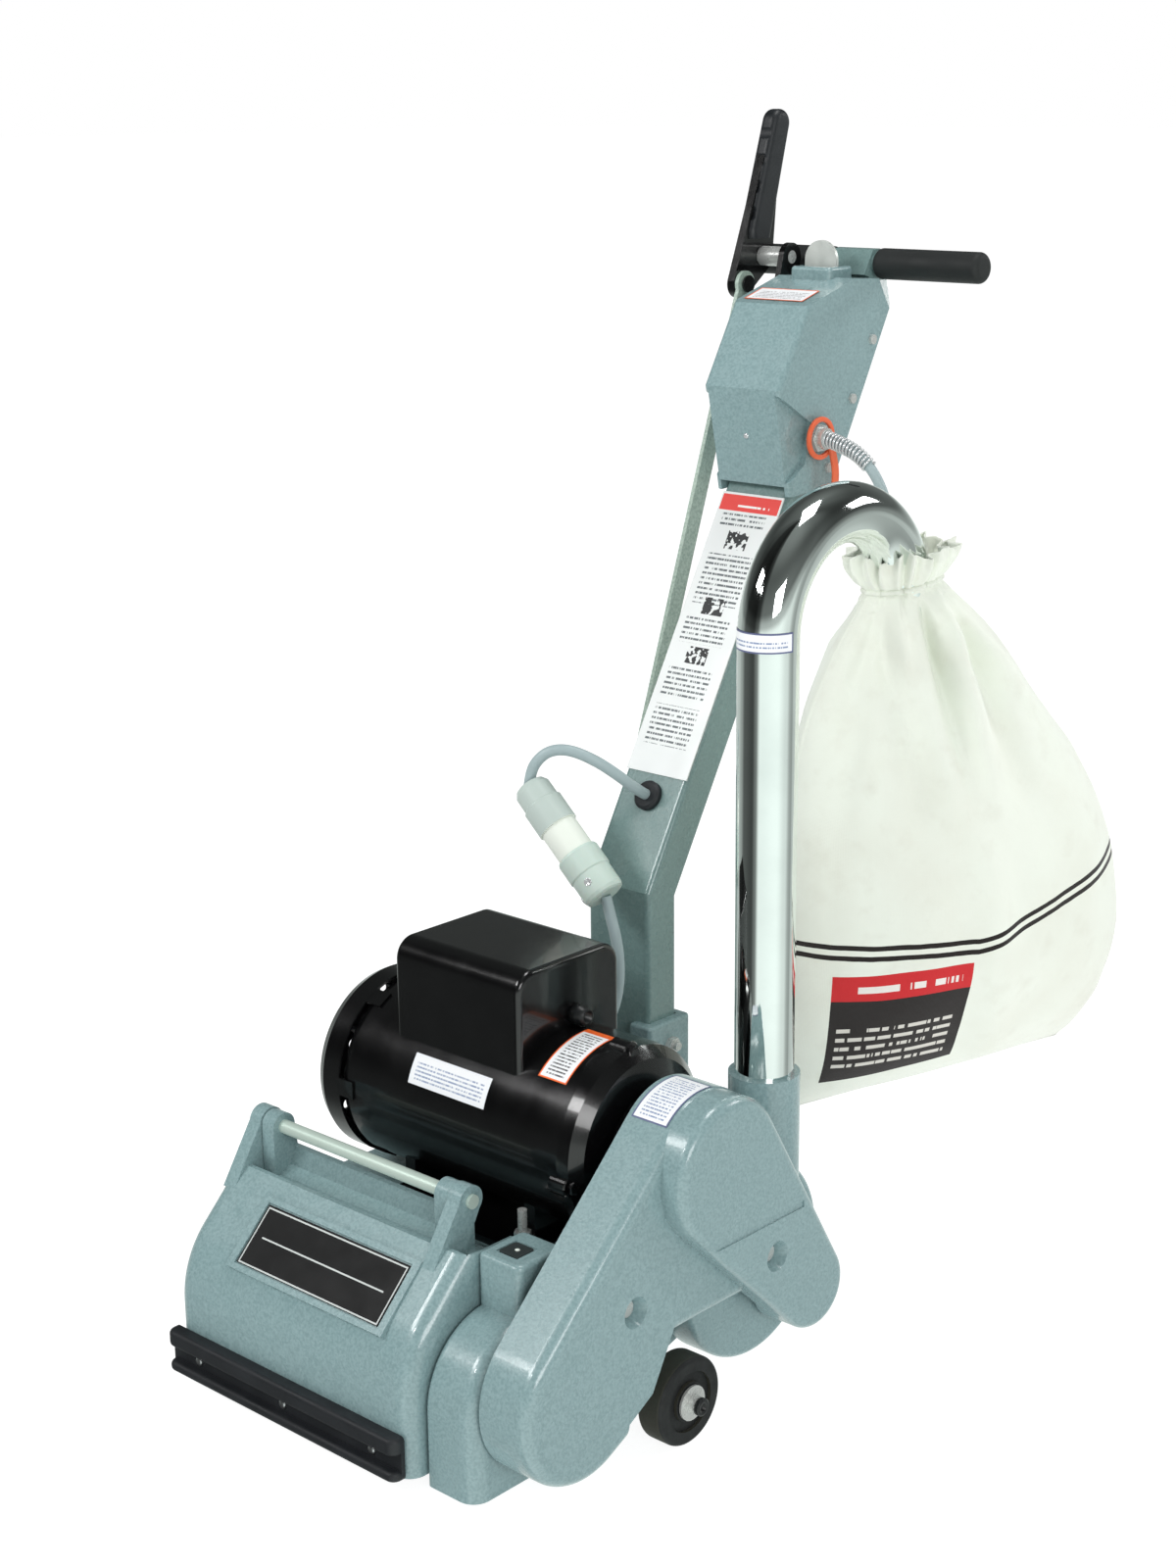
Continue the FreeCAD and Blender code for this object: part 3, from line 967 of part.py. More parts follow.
def make_caster():
    x = COLUMN_X
    top = DECK_Z + DECK_THICKNESS - 42
    king = 6.0
    fork_top = 2 * CASTER_RADIUS + 18
    plate = box(x - 28, x + 28, CASTER_Y - 28, CASTER_Y + 28, top - 6, top)
    pin = post(king, x, CASTER_Y, fork_top - 14, top)
    collar = post(14, x, CASTER_Y, fork_top + 0.6, top)
    head = post(9, x, CASTER_Y, fork_top - 18, fork_top - 13.6)
    nodes["caster_plate"] = fuse(plate, pin, collar, head)
    wheel_y = CASTER_Y + CASTER_TRAIL
    inner = CASTER_WIDTH / 2 + 1.5
    crown = box(x - inner - 4, x + inner + 4, CASTER_Y - 17, wheel_y + 8, fork_top - 5, fork_top)
    crown = fillet(crown, 5.0, lambda bb: bb.ZLength > 4)
    legs = [hull([(wheel_y, CASTER_RADIUS, 9), (wheel_y - 2, fork_top - 10, 10), (CASTER_Y - 2, fork_top - 10, 10)], x0, x0 + 4)
            for x0 in (x - inner - 4, x + inner)]
    hub = post(12, x, CASTER_Y, fork_top - 13, fork_top)
    fork = fuse(crown, hub, *legs).cut(post(king + FIT, x, CASTER_Y, fork_top - 30, fork_top + 10))
    axle = rod(4, x - inner - 6, x + inner + 6, wheel_y, CASTER_RADIUS)
    nodes["caster_fork"] = fuse(fork, axle)
    wheel = rod(CASTER_RADIUS, x - CASTER_WIDTH / 2, x + CASTER_WIDTH / 2, wheel_y, CASTER_RADIUS)
    wheel = fillet(wheel, 5.0, lambda bb: bb.XLength < 0.1)
    nodes["caster_wheel"] = wheel.cut(rod(4 + FIT, x - 20, x + 20, wheel_y, CASTER_RADIUS))


# ---------------------------------------------------------------- cords
def make_cords(grommet_face, grommet_out):
    start = grommet_face
    first = start + grommet_out * 14
    cord_tube("motor_lead_upper", [tuple(start), tuple(first)] + LEAD_UPPER + [PLUG_TOP], 2 * LEAD_RADIUS)
    top = V(*PLUG_TOP)
    end = V(*PLUG_END)
    along = (end - top).normalize()
    length = (end - top).Length
    cap = 0.17 * length
    band = 0.385 * length
    split = 0.63 * length
    plug = [(0, 0), (0, 11), (1.5, 14), (6, 16.8), (cap, 17), (cap + 1.5, 18.6), (band, 18.6), (band, 17),
            (split - 0.3, 17), (split - 0.3, 0)]
    nodes["lead_plug"] = turned(plug, *PLUG_TOP, along)
    shoulder = 0.8 * length
    connector = [(split, 0), (split, 19), (split + 2, 19.8), (shoulder, 19.8), (shoulder + 1.5, 18.8),
                 (length - 4, 18.8), (length - 1, 17.5), (length, 15), (length, 0)]
    nodes["lead_connector"] = turned(connector, *PLUG_TOP, along)
    cord_tube("motor_lead_lower", [PLUG_END] + LEAD_LOWER + [(MOTOR_GLAND[0], MOTOR_GLAND[1] + 9, MOTOR_GLAND[2])],
              2 * LEAD_RADIUS)
    gland = Part.makeCylinder(9, 14, V(MOTOR_GLAND[0], MOTOR_GLAND[1] - 5, MOTOR_GLAND[2]), V(0, 1, 0))
    gland = gland.cut(rod(MOTOR_RADIUS, 0, 100, MOTOR_Y, MOTOR_Z))
    base = V(COLUMN_X + HOUSING_WIDTH / 2 + 2, *POWER_GLAND)
    nut = hex_head(13, 8, base, V(1, 0, 0))
    outlet = fuse(nut, Part.makeCylinder(9.5, GLAND_LENGTH, base, V(1, 0, 0)))
    nodes["cord_glands"] = Part.makeCompound([outlet, gland])
    cord_start = base + V(GLAND_LENGTH, 0, 0)
    cord_tube("power_cord", [tuple(cord_start)] + POWER_ROUTE + [POWER_END], 2 * POWER_RADIUS)
    plug_top = V(*POWER_END)
    down = V(0, 0, -1)
    body = Part.makeCylinder(19, 44, plug_top, down)
    body = fillet(body, 6.0, lambda bb: bb.ZMin > plug_top.z - 1)
    pins = []
    for k in range(3):
        turn = 2 * math.pi * k / 3
        pin = box(-3.5, 3.5, 8, 10, plug_top.z - 58, plug_top.z - 44)
        pin = pin.rotate(V(0, 0, 0), V(0, 0, 1), math.degrees(turn))
        pins.append(pin.translate(V(plug_top.x, plug_top.y, 0)))
    nodes["power_plug"] = fuse(body, *pins)


# ---------------------------------------------------------------- build and write
CORD_NODES = ("motor_lead_upper", "motor_lead_lower", "lead_plug", "lead_connector", "power_cord", "power_plug")

drum_shaft, drum_bearing = make_drum()
make_cover(drum_shaft)
make_casting(drum_shaft, drum_bearing)
make_motor()
make_belts()
guard_screws = make_guard()
make_blower()
make_pipe_and_bag()
column_bolts, lead_exit, lead_out = make_column()
housing_screws = make_housing()
make_handle()
make_lever()
link_left, link_right = make_link()
make_truck(link_left, link_right)
make_caster()
make_cords(lead_exit, lead_out)
tension = post(4, WALL_X - 7, HINGE_Y + 48, TENSION_NUT_Z - 20, TENSION_NUT_Z + 26)
tension = tension.fuse(hex_head(7.5, 7, V(WALL_X - 7, HINGE_Y + 48, TENSION_NUT_Z), V(0, 0, 1)))
nodes["main_casting"] = nodes["main_casting"].cut(post(4, WALL_X - 7, HINGE_Y + 48, TENSION_NUT_Z - 20, TENSION_NUT_Z))
nodes["machine_screws"] = Part.makeCompound(guard_screws + housing_screws + column_bolts + [tension])

whole = FreeCAD.BoundBox()
for name, shape in nodes.items():
    if name not in CORD_NODES:
        whole.add(shape.optimalBoundingBox(True, False))
shift = V(-(whole.XMin + whole.XMax) / 2, -(whole.YMin + whole.YMax) / 2, -whole.ZMin)
print("moved by", [round(value, 3) for value in shift], "nodes", len(nodes))
print("size", round(whole.XLength, 1), round(whole.YLength, 1), round(whole.ZLength, 1))
for name, shape in nodes.items():
    if not shape.isValid():
        print("not valid:", name)
    shape.translate(shift)
    shape.exportStep("parts/" + name + ".step")
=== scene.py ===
"""Looks of the floor drum sander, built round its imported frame. Metres, +Z up.

Places are given in the machine's working axes: X across the machine from the middle of the drum,
Y from the wheels back to the operator, Z up from the floor. place() moves them into the frame.
"""

import json
import math

import bmesh
import bpy
from mathutils import Matrix, Vector, noise


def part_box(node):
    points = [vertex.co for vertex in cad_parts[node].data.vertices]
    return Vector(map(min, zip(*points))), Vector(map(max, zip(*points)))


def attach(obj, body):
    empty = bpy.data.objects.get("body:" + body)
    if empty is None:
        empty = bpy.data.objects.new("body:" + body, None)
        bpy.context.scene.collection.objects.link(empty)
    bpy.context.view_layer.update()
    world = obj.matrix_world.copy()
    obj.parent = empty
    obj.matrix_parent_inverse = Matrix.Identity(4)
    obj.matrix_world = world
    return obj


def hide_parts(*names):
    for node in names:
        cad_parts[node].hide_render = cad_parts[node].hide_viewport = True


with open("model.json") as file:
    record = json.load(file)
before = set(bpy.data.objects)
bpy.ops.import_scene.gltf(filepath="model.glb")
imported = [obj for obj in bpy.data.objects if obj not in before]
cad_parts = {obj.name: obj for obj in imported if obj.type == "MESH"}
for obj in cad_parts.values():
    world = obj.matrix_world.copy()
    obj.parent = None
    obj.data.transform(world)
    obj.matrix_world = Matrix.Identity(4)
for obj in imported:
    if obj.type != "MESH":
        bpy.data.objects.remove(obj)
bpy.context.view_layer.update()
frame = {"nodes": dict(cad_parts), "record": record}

# ---------------------------------------------------------------- places and sizes
DRUM_AXIS = Vector((0, -0.106, 0.0762))
MOTOR_AXIS = (0.039, 0.235)             # (y, z) of the motor's shaft
MOTOR_RADIUS = 0.082
MOTOR_FACE = 0.187                      # outer face of the drive end bell
GUARD_CROWN = (0.041, 0.235, 0.063)     # (y, z, radius) of the belt guard's round top
PIPE = (0.212, 0.158, 0.0254)           # (x, y, radius) of the upright exhaust pipe
BAG_CENTRE = Vector((0.225, 0.385, 0))
BAG_HEADING = math.radians(60)
TIE_HEIGHT = 0.660
BAG_TOP = 0.690
PAPER = 0.0003
BUMPER_MOUTH = 0.016                    # middle of the bumper's groove above its lower edge
LEAD_DIAMETER = 0.010
POWER_DIAMETER = 0.0095
GLAND_FACE = Vector((0.081, 0.405, 0.765))
COLUMN_LEAN = math.radians(30)
PLUG_TOP = Vector((-0.0498, 0.150, 0.4744))
PLUG_END = Vector((0.041, 0.150, 0.3905))
PLUG_BAND = 0.385                       # share of the plugs' length where the grey grip ends

drum_low, drum_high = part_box("abrasive_sleeve")
ORIGIN = (drum_low + drum_high) / 2 - DRUM_AXIS


def place(x, y, z):
    """A point of the working axes, in the frame."""
    return ORIGIN + Vector((x, y, z))


# ---------------------------------------------------------------- materials
def srgb(red, green, blue):
    """Linear colour of an 0 to 255 screen colour."""
    linear = []
    for value in (red, green, blue):
        part = value / 255
        linear.append(part / 12.92 if part <= 0.04045 else ((part + 0.055) / 1.055) ** 2.4)
    return tuple(linear)


class Finish:
    """A node material: its Principled shader, and the nodes that feed it."""

    def __init__(self, name, colour, roughness, **sockets):
        self.material = bpy.data.materials.new(name)
        self.material.use_nodes = True
        self.tree = self.material.node_tree
        self.shader = self.tree.nodes["Principled BSDF"]
        self.colour = colour
        self.shader.inputs["Base Color"].default_value = (*colour, 1)
        self.shader.inputs["Roughness"].default_value = roughness
        for key, value in sockets.items():
            self.shader.inputs[key.replace("_", " ")].default_value = value
        self.where = self.node("TexCoord")
        self.relief = None

    def node(self, kind, inputs=None, **settings):
        made = self.tree.nodes.new("ShaderNode" + kind)
        for key, value in settings.items():
            setattr(made, key, value)
        for key, value in (inputs or {}).items():
            self.feed(value, made.inputs[key])
        return made

    def feed(self, value, socket):
        if isinstance(value, bpy.types.NodeSocket):
            self.tree.links.new(value, socket)
        else:
            socket.default_value = value

    def spot(self, turn=(0, 0, 0), scale=(1, 1, 1), source="Object"):
        """Coordinates about the drum's middle, turned and stretched."""
        shift = tuple(-ORIGIN) if source == "Object" else (0, 0, 0)
        moved = self.node("Mapping", {"Vector": self.where.outputs[source], "Location": shift})
        turned = self.node("Mapping", {"Vector": moved.outputs[0], "Rotation": turn, "Scale": scale})
        return turned.outputs[0]

    def noise(self, scale, detail=2.0, stretch=(1, 1, 1), turn=(0, 0, 0), source="Object"):
        place_of = self.spot(turn, stretch, source)
        return self.node("TexNoise", {"Vector": place_of, "Scale": scale, "Detail": detail}).outputs["Fac"]

    def cells(self, scale):
        cell = self.node("TexVoronoi", {"Vector": self.spot(), "Scale": scale}, feature="SMOOTH_F1")
        return cell.outputs["Distance"]

    def sums(self, operation, first, second=0.0, third=0.0):
        return self.node("Math", {0: first, 1: second, 2: third}, operation=operation).outputs[0]

    def between(self, value, low, high):
        over = self.sums("GREATER_THAN", value, low)
        return self.sums("MULTIPLY", over, self.sums("LESS_THAN", value, high))

    def span(self, value, low, high, to_low=0.0, to_high=1.0):
        made = self.node("MapRange", {"Value": value, "From Min": low, "From Max": high,
                                      "To Min": to_low, "To Max": to_high})
        return made.outputs["Result"]

    def mix(self, factor, first, second):
        made = self.node("Mix", data_type="RGBA")
        self.feed(factor, made.inputs["Factor"])
        for socket, value in ((6, first), (7, second)):
            self.feed(value if isinstance(value, bpy.types.NodeSocket) else (*value, 1), made.inputs[socket])
        return made.outputs[2]

    def paint(self, factor, colour):
        """Lay another colour over what the shader has so far."""
        socket = self.shader.inputs["Base Color"]
        under = socket.links[0].from_socket if socket.links else self.colour
        self.feed(self.mix(factor, under, colour), socket)

    def vary(self, value, low, high, socket="Roughness"):
        self.feed(self.span(value, 0.3, 0.7, low, high), self.shader.inputs[socket])

    def bump(self, height, depth, strength=1.0):
        inputs = {"Height": height, "Distance": depth, "Strength": strength}
        if self.relief:
            inputs["Normal"] = self.relief
        self.relief = self.node("Bump", inputs).outputs[0]
        self.feed(self.relief, self.shader.inputs["Normal"])


def hammered(name, colour, deep):
    """Hammered enamel: fine dimples that catch the light, over a soft change of shade."""
    paint = Finish(name, colour, 0.26, Coat_Weight=0.5, Coat_Roughness=0.1, Specular_IOR_Level=0.6)
    paint.paint(paint.span(paint.noise(430, 3), 0.38, 0.64), deep)
    paint.paint(paint.span(paint.noise(9, 3), 0.45, 0.75, 0.0, 0.06), tuple(c * 0.85 for c in deep))
    paint.vary(paint.noise(60), 0.22, 0.32)
    paint.bump(paint.noise(620, 2), 0.0002, 0.4)
    return paint.material


def black_enamel():
    paint = Finish("black_enamel", srgb(7, 7, 8), 0.2, Coat_Weight=0.5, Coat_Roughness=0.06)
    paint.paint(paint.span(paint.noise(14, 4), 0.55, 0.85, 0.0, 0.4), srgb(17, 18, 19))
    paint.vary(paint.noise(35, 4), 0.17, 0.27)
    paint.bump(paint.noise(120, 3), 0.0002, 0.15)
    return paint.material


def matt_black(name, colour, roughness, grain, depth):
    skin = Finish(name, colour, roughness)
    skin.paint(skin.span(skin.noise(25, 4), 0.4, 0.75, 0.0, 0.5), tuple(c * 1.7 for c in colour))
    skin.vary(skin.noise(50, 3), roughness - 0.07, min(1.0, roughness + 0.1))
    skin.bump(skin.noise(grain, 3), depth, 0.4)
    return skin.material


def plating(name, colour, roughness, grain_scale, stretch, depth, metallic=1.0):
    """Bright metal with a fine drawn grain."""
    metal = Finish(name, colour, roughness, Metallic=metallic)
    metal.paint(metal.span(metal.noise(18, 4), 0.45, 0.8, 0.0, 0.35), tuple(c * 0.75 for c in colour))
    metal.vary(metal.noise(grain_scale, 3, stretch), roughness * 0.75, roughness * 1.35)
    metal.bump(metal.noise(grain_scale, 2, stretch), depth, 0.25)
    return metal.material


def tyre_rubber():
    """Brown grey tread between darker side walls."""
    tyre = Finish("tyre_rubber", srgb(20, 23, 24), 0.5)
    tread = tyre.node("VectorMath", {0: tyre.node("NewGeometry").outputs["Normal"], 1: (1, 0, 0)},
                      operation="DOT_PRODUCT").outputs["Value"]
    flat = tyre.sums("LESS_THAN", tyre.sums("ABSOLUTE", tread), 0.45)
    tyre.paint(flat, srgb(52, 52, 43))
    tyre.paint(tyre.span(tyre.noise(60, 4), 0.55, 0.85, 0.0, 0.35), srgb(60, 60, 54))
    tyre.vary(tyre.noise(90, 3), 0.5, 0.75)
    tyre.bump(tyre.noise(350, 3), 0.0004, 0.4)
    return tyre.material


def moulded(name, colour, roughness=0.34):
    """Moulded plastic with a slight orange peel."""
    plastic = Finish(name, colour, roughness, Subsurface_Weight=0.05)
    plastic.paint(plastic.span(plastic.noise(30, 3), 0.45, 0.8, 0.0, 0.4), tuple(c * 0.86 for c in colour))
    plastic.vary(plastic.noise(70, 2), roughness * 0.8, roughness * 1.25)
    plastic.bump(plastic.noise(220, 2), 0.0002, 0.2)
    return plastic.material


def two_tone_plug():
    """A plug with a grey grip and a pale cap over the part that meets the connector."""
    plug = Finish("plug_grey_and_white", srgb(186, 200, 194), 0.36)
    ahead = (PLUG_END - PLUG_TOP).normalized()
    reach = plug.node("VectorMath", {0: plug.where.outputs["Object"], 1: ahead}, operation="DOT_PRODUCT")
    start = place(*PLUG_TOP).dot(ahead) + PLUG_BAND * (PLUG_END - PLUG_TOP).length
    plug.paint(plug.sums("GREATER_THAN", reach.outputs["Value"], start), srgb(233, 240, 230))
    plug.vary(plug.noise(70, 2), 0.3, 0.44)
    plug.bump(plug.noise(220, 2), 0.0002, 0.2)
    return plug.material


def belt_cloth():
    belt = Finish("belt_rubber", srgb(26, 26, 27), 0.8)
    ribs = belt.node("TexWave", {"Vector": belt.spot(), "Scale": 120.0}, bands_direction="Z").outputs["Fac"]
    belt.bump(ribs, 0.0005, 0.5)
    return belt.material


def grit():
    """Open coat abrasive, brown with dark grains."""
    paper = Finish("abrasive_grit", srgb(112, 74, 52), 0.85)
    paper.paint(paper.span(paper.cells(900), 0.2, 0.8), srgb(52, 34, 28))
    paper.bump(paper.cells(900), 0.0008, 0.8)
    return paper.material


def windings():
    wire = Finish("copper_windings", srgb(150, 78, 44), 0.4, Metallic=0.8)
    wire.bump(wire.noise(300, 2, (8, 1, 1)), 0.0006, 0.6)
    return wire.material


def dark_plate():
    """The cover's blank plate: black, with a silver border and one thin silver rule."""
    low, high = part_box("cover_plate")
    plate = Finish("black_nameplate", srgb(8, 9, 10), 0.5, Specular_IOR_Level=0.3)
    split = plate.node("SeparateXYZ", {"Vector": plate.where.outputs["Object"]})
    across, rise = split.outputs["X"], split.outputs["Z"]
    edge = 0.0013
    inside = plate.sums("MULTIPLY", plate.between(across, low.x + edge, high.x - edge),
                        plate.between(rise, low.z + edge * 0.95, high.z - edge * 0.95))
    inner = plate.sums("MULTIPLY", plate.between(across, low.x + 2 * edge, high.x - 2 * edge),
                       plate.between(rise, low.z + 1.7 * edge, high.z - 1.7 * edge))
    rim = plate.sums("SUBTRACT", inside, inner)
    middle = (low.z + high.z) / 2
    rule = plate.sums("MULTIPLY", plate.between(rise, middle - 0.0005, middle + 0.0005),
                      plate.between(across, low.x + 0.012, high.x - 0.012))
    silver = plate.sums("MAXIMUM", rim, rule)
    plate.paint(silver, srgb(200, 206, 204))
    plate.vary(plate.noise(40, 3), 0.44, 0.56)
    plate.bump(silver, 0.0002, 0.5)
    return plate.material


def words(label, across, up, pitch, freq, seed):
    """Broken grey bars in rows, in place of print."""
    row = label.sums("DIVIDE", up, pitch)
    line = label.between(label.sums("FRACT", row), 0.3, 0.72)
    spot = label.node("CombineXYZ", {0: label.sums("MULTIPLY", across, freq),
                                     1: label.sums("MULTIPLY", label.sums("FLOOR", row), 7.31), 2: seed})
    speckle = label.node("TexNoise", {"Vector": spot.outputs[0], "Scale": 1.0, "Detail": 1.0}).outputs["Fac"]
    return label.sums("MULTIPLY", line, label.sums("GREATER_THAN", speckle, 0.44))


def area(label, across, up, low_x, high_x, low_y, high_y):
    return label.sums("MULTIPLY", label.between(across, low_x, high_x), label.between(up, low_y, high_y))


def printed_label(name, width, height, border, ink, header=None):
    """White label on its own UV map in metres, with a coloured edge and rows of grey bars."""
    label = Finish(name, srgb(240, 243, 245), 0.42)
    split = label.node("SeparateXYZ", {"Vector": label.where.outputs["UV"]})
    across, up = split.outputs["X"], split.outputs["Y"]
    margin = 0.0014
    inside = area(label, across, up, margin, width - margin, margin, height - margin)
    label.paint(label.sums("SUBTRACT", 1.0, inside), border)
    text_top = height - 4 * margin
    if header:
        head, share = header
        text_top = height * (1 - share)
        label.paint(area(label, across, up, 0, width, text_top, height), head)
    text = words(label, across, up, 0.0034, 900, 2.0)
    field = area(label, across, up, 4 * margin, width - 4 * margin, 3 * margin, text_top - margin)
    label.paint(label.sums("MULTIPLY", text, field), ink)
    label.vary(label.noise(40, 3, source="UV"), 0.36, 0.5)
    label.bump(label.noise(200, 2, source="UV"), 0.0001, 0.2)
    return label.material


def column_plate():
    """Long pale plate on the column: a red band on top, then rows of grey bars and dark blocks."""
    low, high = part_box("column_panel")
    plate = Finish("column_plate", srgb(226, 230, 229), 0.33, Metallic=0.15)
    split = plate.node("SeparateXYZ", {"Vector": plate.where.outputs["Object"]})
    across = plate.sums("SUBTRACT", split.outputs["X"], low.x)
    up = plate.sums("SUBTRACT", split.outputs["Z"], low.z)
    width = high.x - low.x
    height = high.z - low.z
    text = words(plate, across, up, 0.0042, 700, 5.0)
    for bottom, top in ((0.10, 0.24), (0.27, 0.38), (0.46, 0.56), (0.60, 0.78), (0.88, 0.925)):
        field = area(plate, across, up, 0.008, width - 0.012, bottom * height, top * height)
        plate.paint(plate.sums("MULTIPLY", text, field), srgb(96, 104, 106))
    blot = plate.noise(190, 2)
    for bottom, top in ((0.39, 0.45), (0.565, 0.595 + 0.03), (0.80, 0.865)):
        field = area(plate, across, up, 0.022, 0.046, bottom * height, top * height)
        plate.paint(plate.sums("MULTIPLY", field, plate.sums("GREATER_THAN", blot, 0.47)), srgb(34, 36, 38))
    red_band = area(plate, across, up, 0.0015, width - 0.0015, 0.935 * height, 0.992 * height)
    plate.paint(red_band, srgb(226, 66, 60))
    bars = area(plate, across, up, 0.022, width - 0.012, 0.95 * height, 0.975 * height)
    plate.paint(plate.sums("MULTIPLY", bars, words(plate, across, up, 0.012, 260, 1.0)), srgb(240, 240, 238))
    plate.vary(plate.noise(30, 3), 0.28, 0.42)
    plate.bump(plate.noise(400, 2), 0.0001, 0.2)
    return plate.material


def cord_skin(name, colour):
    """Soft grey PVC over twisted cores."""
    skin = Finish(name, colour, 0.42)
    skin.paint(skin.span(skin.noise(45, 3), 0.4, 0.75, 0.0, 0.4), tuple(c * 0.82 for c in colour))
    skin.vary(skin.noise(60, 2), 0.36, 0.52)
    skin.bump(skin.noise(90, 2), 0.0004, 0.25)
    return skin.material


def canvas():
    """Undyed cotton: a plain weave, soft stains, two dark stripes and a printed block low on the front."""
    cloth = Finish("cotton_canvas", srgb(234, 240, 229), 0.88, Sheen_Weight=0.25, Sheen_Roughness=0.5,
                   Specular_IOR_Level=0.2)
    cloth.paint(cloth.span(cloth.noise(11, 4), 0.45, 0.75, 0.0, 0.55), srgb(222, 224, 211))
    cloth.paint(cloth.span(cloth.noise(42, 5), 0.55, 0.8, 0.0, 0.35), srgb(212, 213, 199))
    split = cloth.node("SeparateXYZ", {"Vector": cloth.where.outputs["UV"]})
    along, up = split.outputs["X"], split.outputs["Y"]
    wobble = cloth.span(cloth.noise(30, 2), 0.0, 1.0, -0.0012, 0.0012)
    gentle = cloth.sums("MULTIPLY", cloth.sums("SUBTRACT", along, 0.36), 0.065)
    steep = cloth.sums("MULTIPLY", cloth.sums("MAXIMUM", cloth.sums("SUBTRACT", along, 0.495), 0.0), 0.275)
    level = cloth.sums("SUBTRACT", up, cloth.sums("ADD", gentle, steep))
    level = cloth.sums("ADD", level, wobble)
    front = cloth.sums("GREATER_THAN", along, 0.0)
    for bottom in (0.3412, 0.3505):
        stripe = cloth.between(level, bottom, bottom + 0.0045)
        cloth.paint(cloth.sums("MULTIPLY", stripe, front), srgb(38, 34, 32))
    skew = cloth.sums("SUBTRACT", up, cloth.sums("MULTIPLY", cloth.sums("SUBTRACT", along, 0.43), 0.13))
    hem = cloth.sums("SUBTRACT", up, cloth.sums("MULTIPLY", cloth.sums("SUBTRACT", along, 0.43), 0.21))
    column = cloth.between(along, 0.379, 0.492)
    block = cloth.sums("MULTIPLY", column, cloth.sums("MULTIPLY", cloth.sums("LESS_THAN", skew, 0.334),
                                                      cloth.sums("GREATER_THAN", hem, 0.229)))
    cloth.paint(block, srgb(46, 43, 42))
    cloth.paint(area(cloth, along, skew, 0.379, 0.492, 0.310, 0.334), srgb(205, 48, 52))
    bars = words(cloth, along, skew, 0.0092, 210, 3.0)
    print_field = area(cloth, along, skew, 0.385, 0.482, 0.240, 0.284)
    cloth.paint(cloth.sums("MULTIPLY", bars, print_field), srgb(214, 212, 204))
    title = area(cloth, along, skew, 0.398, 0.484, 0.3175, 0.3275)
    headline = words(cloth, along, skew, 0.022, 190, 9.0)
    cloth.paint(cloth.sums("MULTIPLY", title, headline), srgb(236, 232, 226))
    threads = {"Vector": cloth.where.outputs["UV"], "Scale": 280.0}
    warp = cloth.node("TexWave", threads, bands_direction="X").outputs["Fac"]
    weft = cloth.node("TexWave", threads, bands_direction="Y").outputs["Fac"]
    weave = cloth.sums("ADD", warp, weft)
    cloth.bump(weave, 0.00025, 0.35)
    cloth.bump(cloth.noise(70, 5), 0.0016, 0.35)
    return cloth.material


GREY = srgb(140, 167, 169)
FINISHES = {
    "hammertone": hammered("hammered_grey", GREY, srgb(123, 150, 152)),
    "motor_black": black_enamel(),
    "chrome_tube": plating("chrome_plate", (0.86, 0.91, 0.89), 0.05, 60, (1, 1, 0.05), 0.000005),
    "steel": plating("machined_steel", (0.55, 0.56, 0.57), 0.3, 300, (0.05, 1, 1), 0.0001),
    "zinc": plating("zinc_plate", (0.66, 0.68, 0.66), 0.26, 120, (1, 1, 1), 0.00002, 0.55),
    "aluminium": plating("cast_aluminium", (0.62, 0.63, 0.65), 0.42, 200, (1, 1, 1), 0.0003),
    "cast_iron": plating("machined_iron", (0.22, 0.22, 0.23), 0.5, 260, (1, 1, 1), 0.0003),
    "rubber": matt_black("black_rubber", srgb(27, 30, 34), 0.55, 260, 0.0004),
    "drum_rubber": matt_black("drum_rubber", srgb(46, 30, 28), 0.7, 200, 0.0004),
    "tyre": tyre_rubber(),
    "belt": belt_cloth(),
    "black_plastic": matt_black("black_plastic", srgb(20, 23, 24), 0.38, 240, 0.0002),
    "grey_plastic": moulded("grey_plastic", srgb(196, 214, 205)),
    "white_plastic": moulded("white_plastic", srgb(233, 240, 230)),
    "canvas": canvas(),
    "abrasive": grit(),
    "black_plate": dark_plate(),
    "panel": column_plate(),
    "copper": windings(),
}
DARK_GREY = hammered("hammered_dark_grey", srgb(119, 146, 144), srgb(109, 135, 133))
BRIGHT_STEEL = plating("bright_steel", (0.74, 0.76, 0.77), 0.2, 120, (1, 1, 1), 0.00001, 0.5)
HINGE_BRIGHT = plating("ground_hinge_rod", srgb(206, 224, 213), 0.36, 60, (0.05, 1, 1), 0.000002, 0.35)
OWN_FINISH = {
    "handle_column": DARK_GREY,
    "cover_hinge_rod": HINGE_BRIGHT,
    "lift_link": hammered("pale_enamel", srgb(178, 196, 184), srgb(150, 170, 158)),
    "t_handle": DARK_GREY,
    "switch_paddle": plating("satin_paddle", (0.72, 0.76, 0.72), 0.38, 90, (1, 1, 1), 0.00003, 0.4),
    "cord_glands": FINISHES["zinc"],
    "lead_connector": FINISHES["grey_plastic"],
    "lead_plug": two_tone_plug(),
    "handle_grips": matt_black("grip_foam", srgb(24, 28, 28), 0.62, 900, 0.0003),
    "lift_lever_grip": matt_black("grip_rubber", srgb(22, 26, 30), 0.45, 500, 0.0003),
}
for part in frame["record"]["subparts"]:
    node = frame["nodes"][part["node"]]
    chosen = OWN_FINISH.get(part["node"], FINISHES[part["material_slot"]])
    for slot in node.material_slots:
        slot.material = chosen


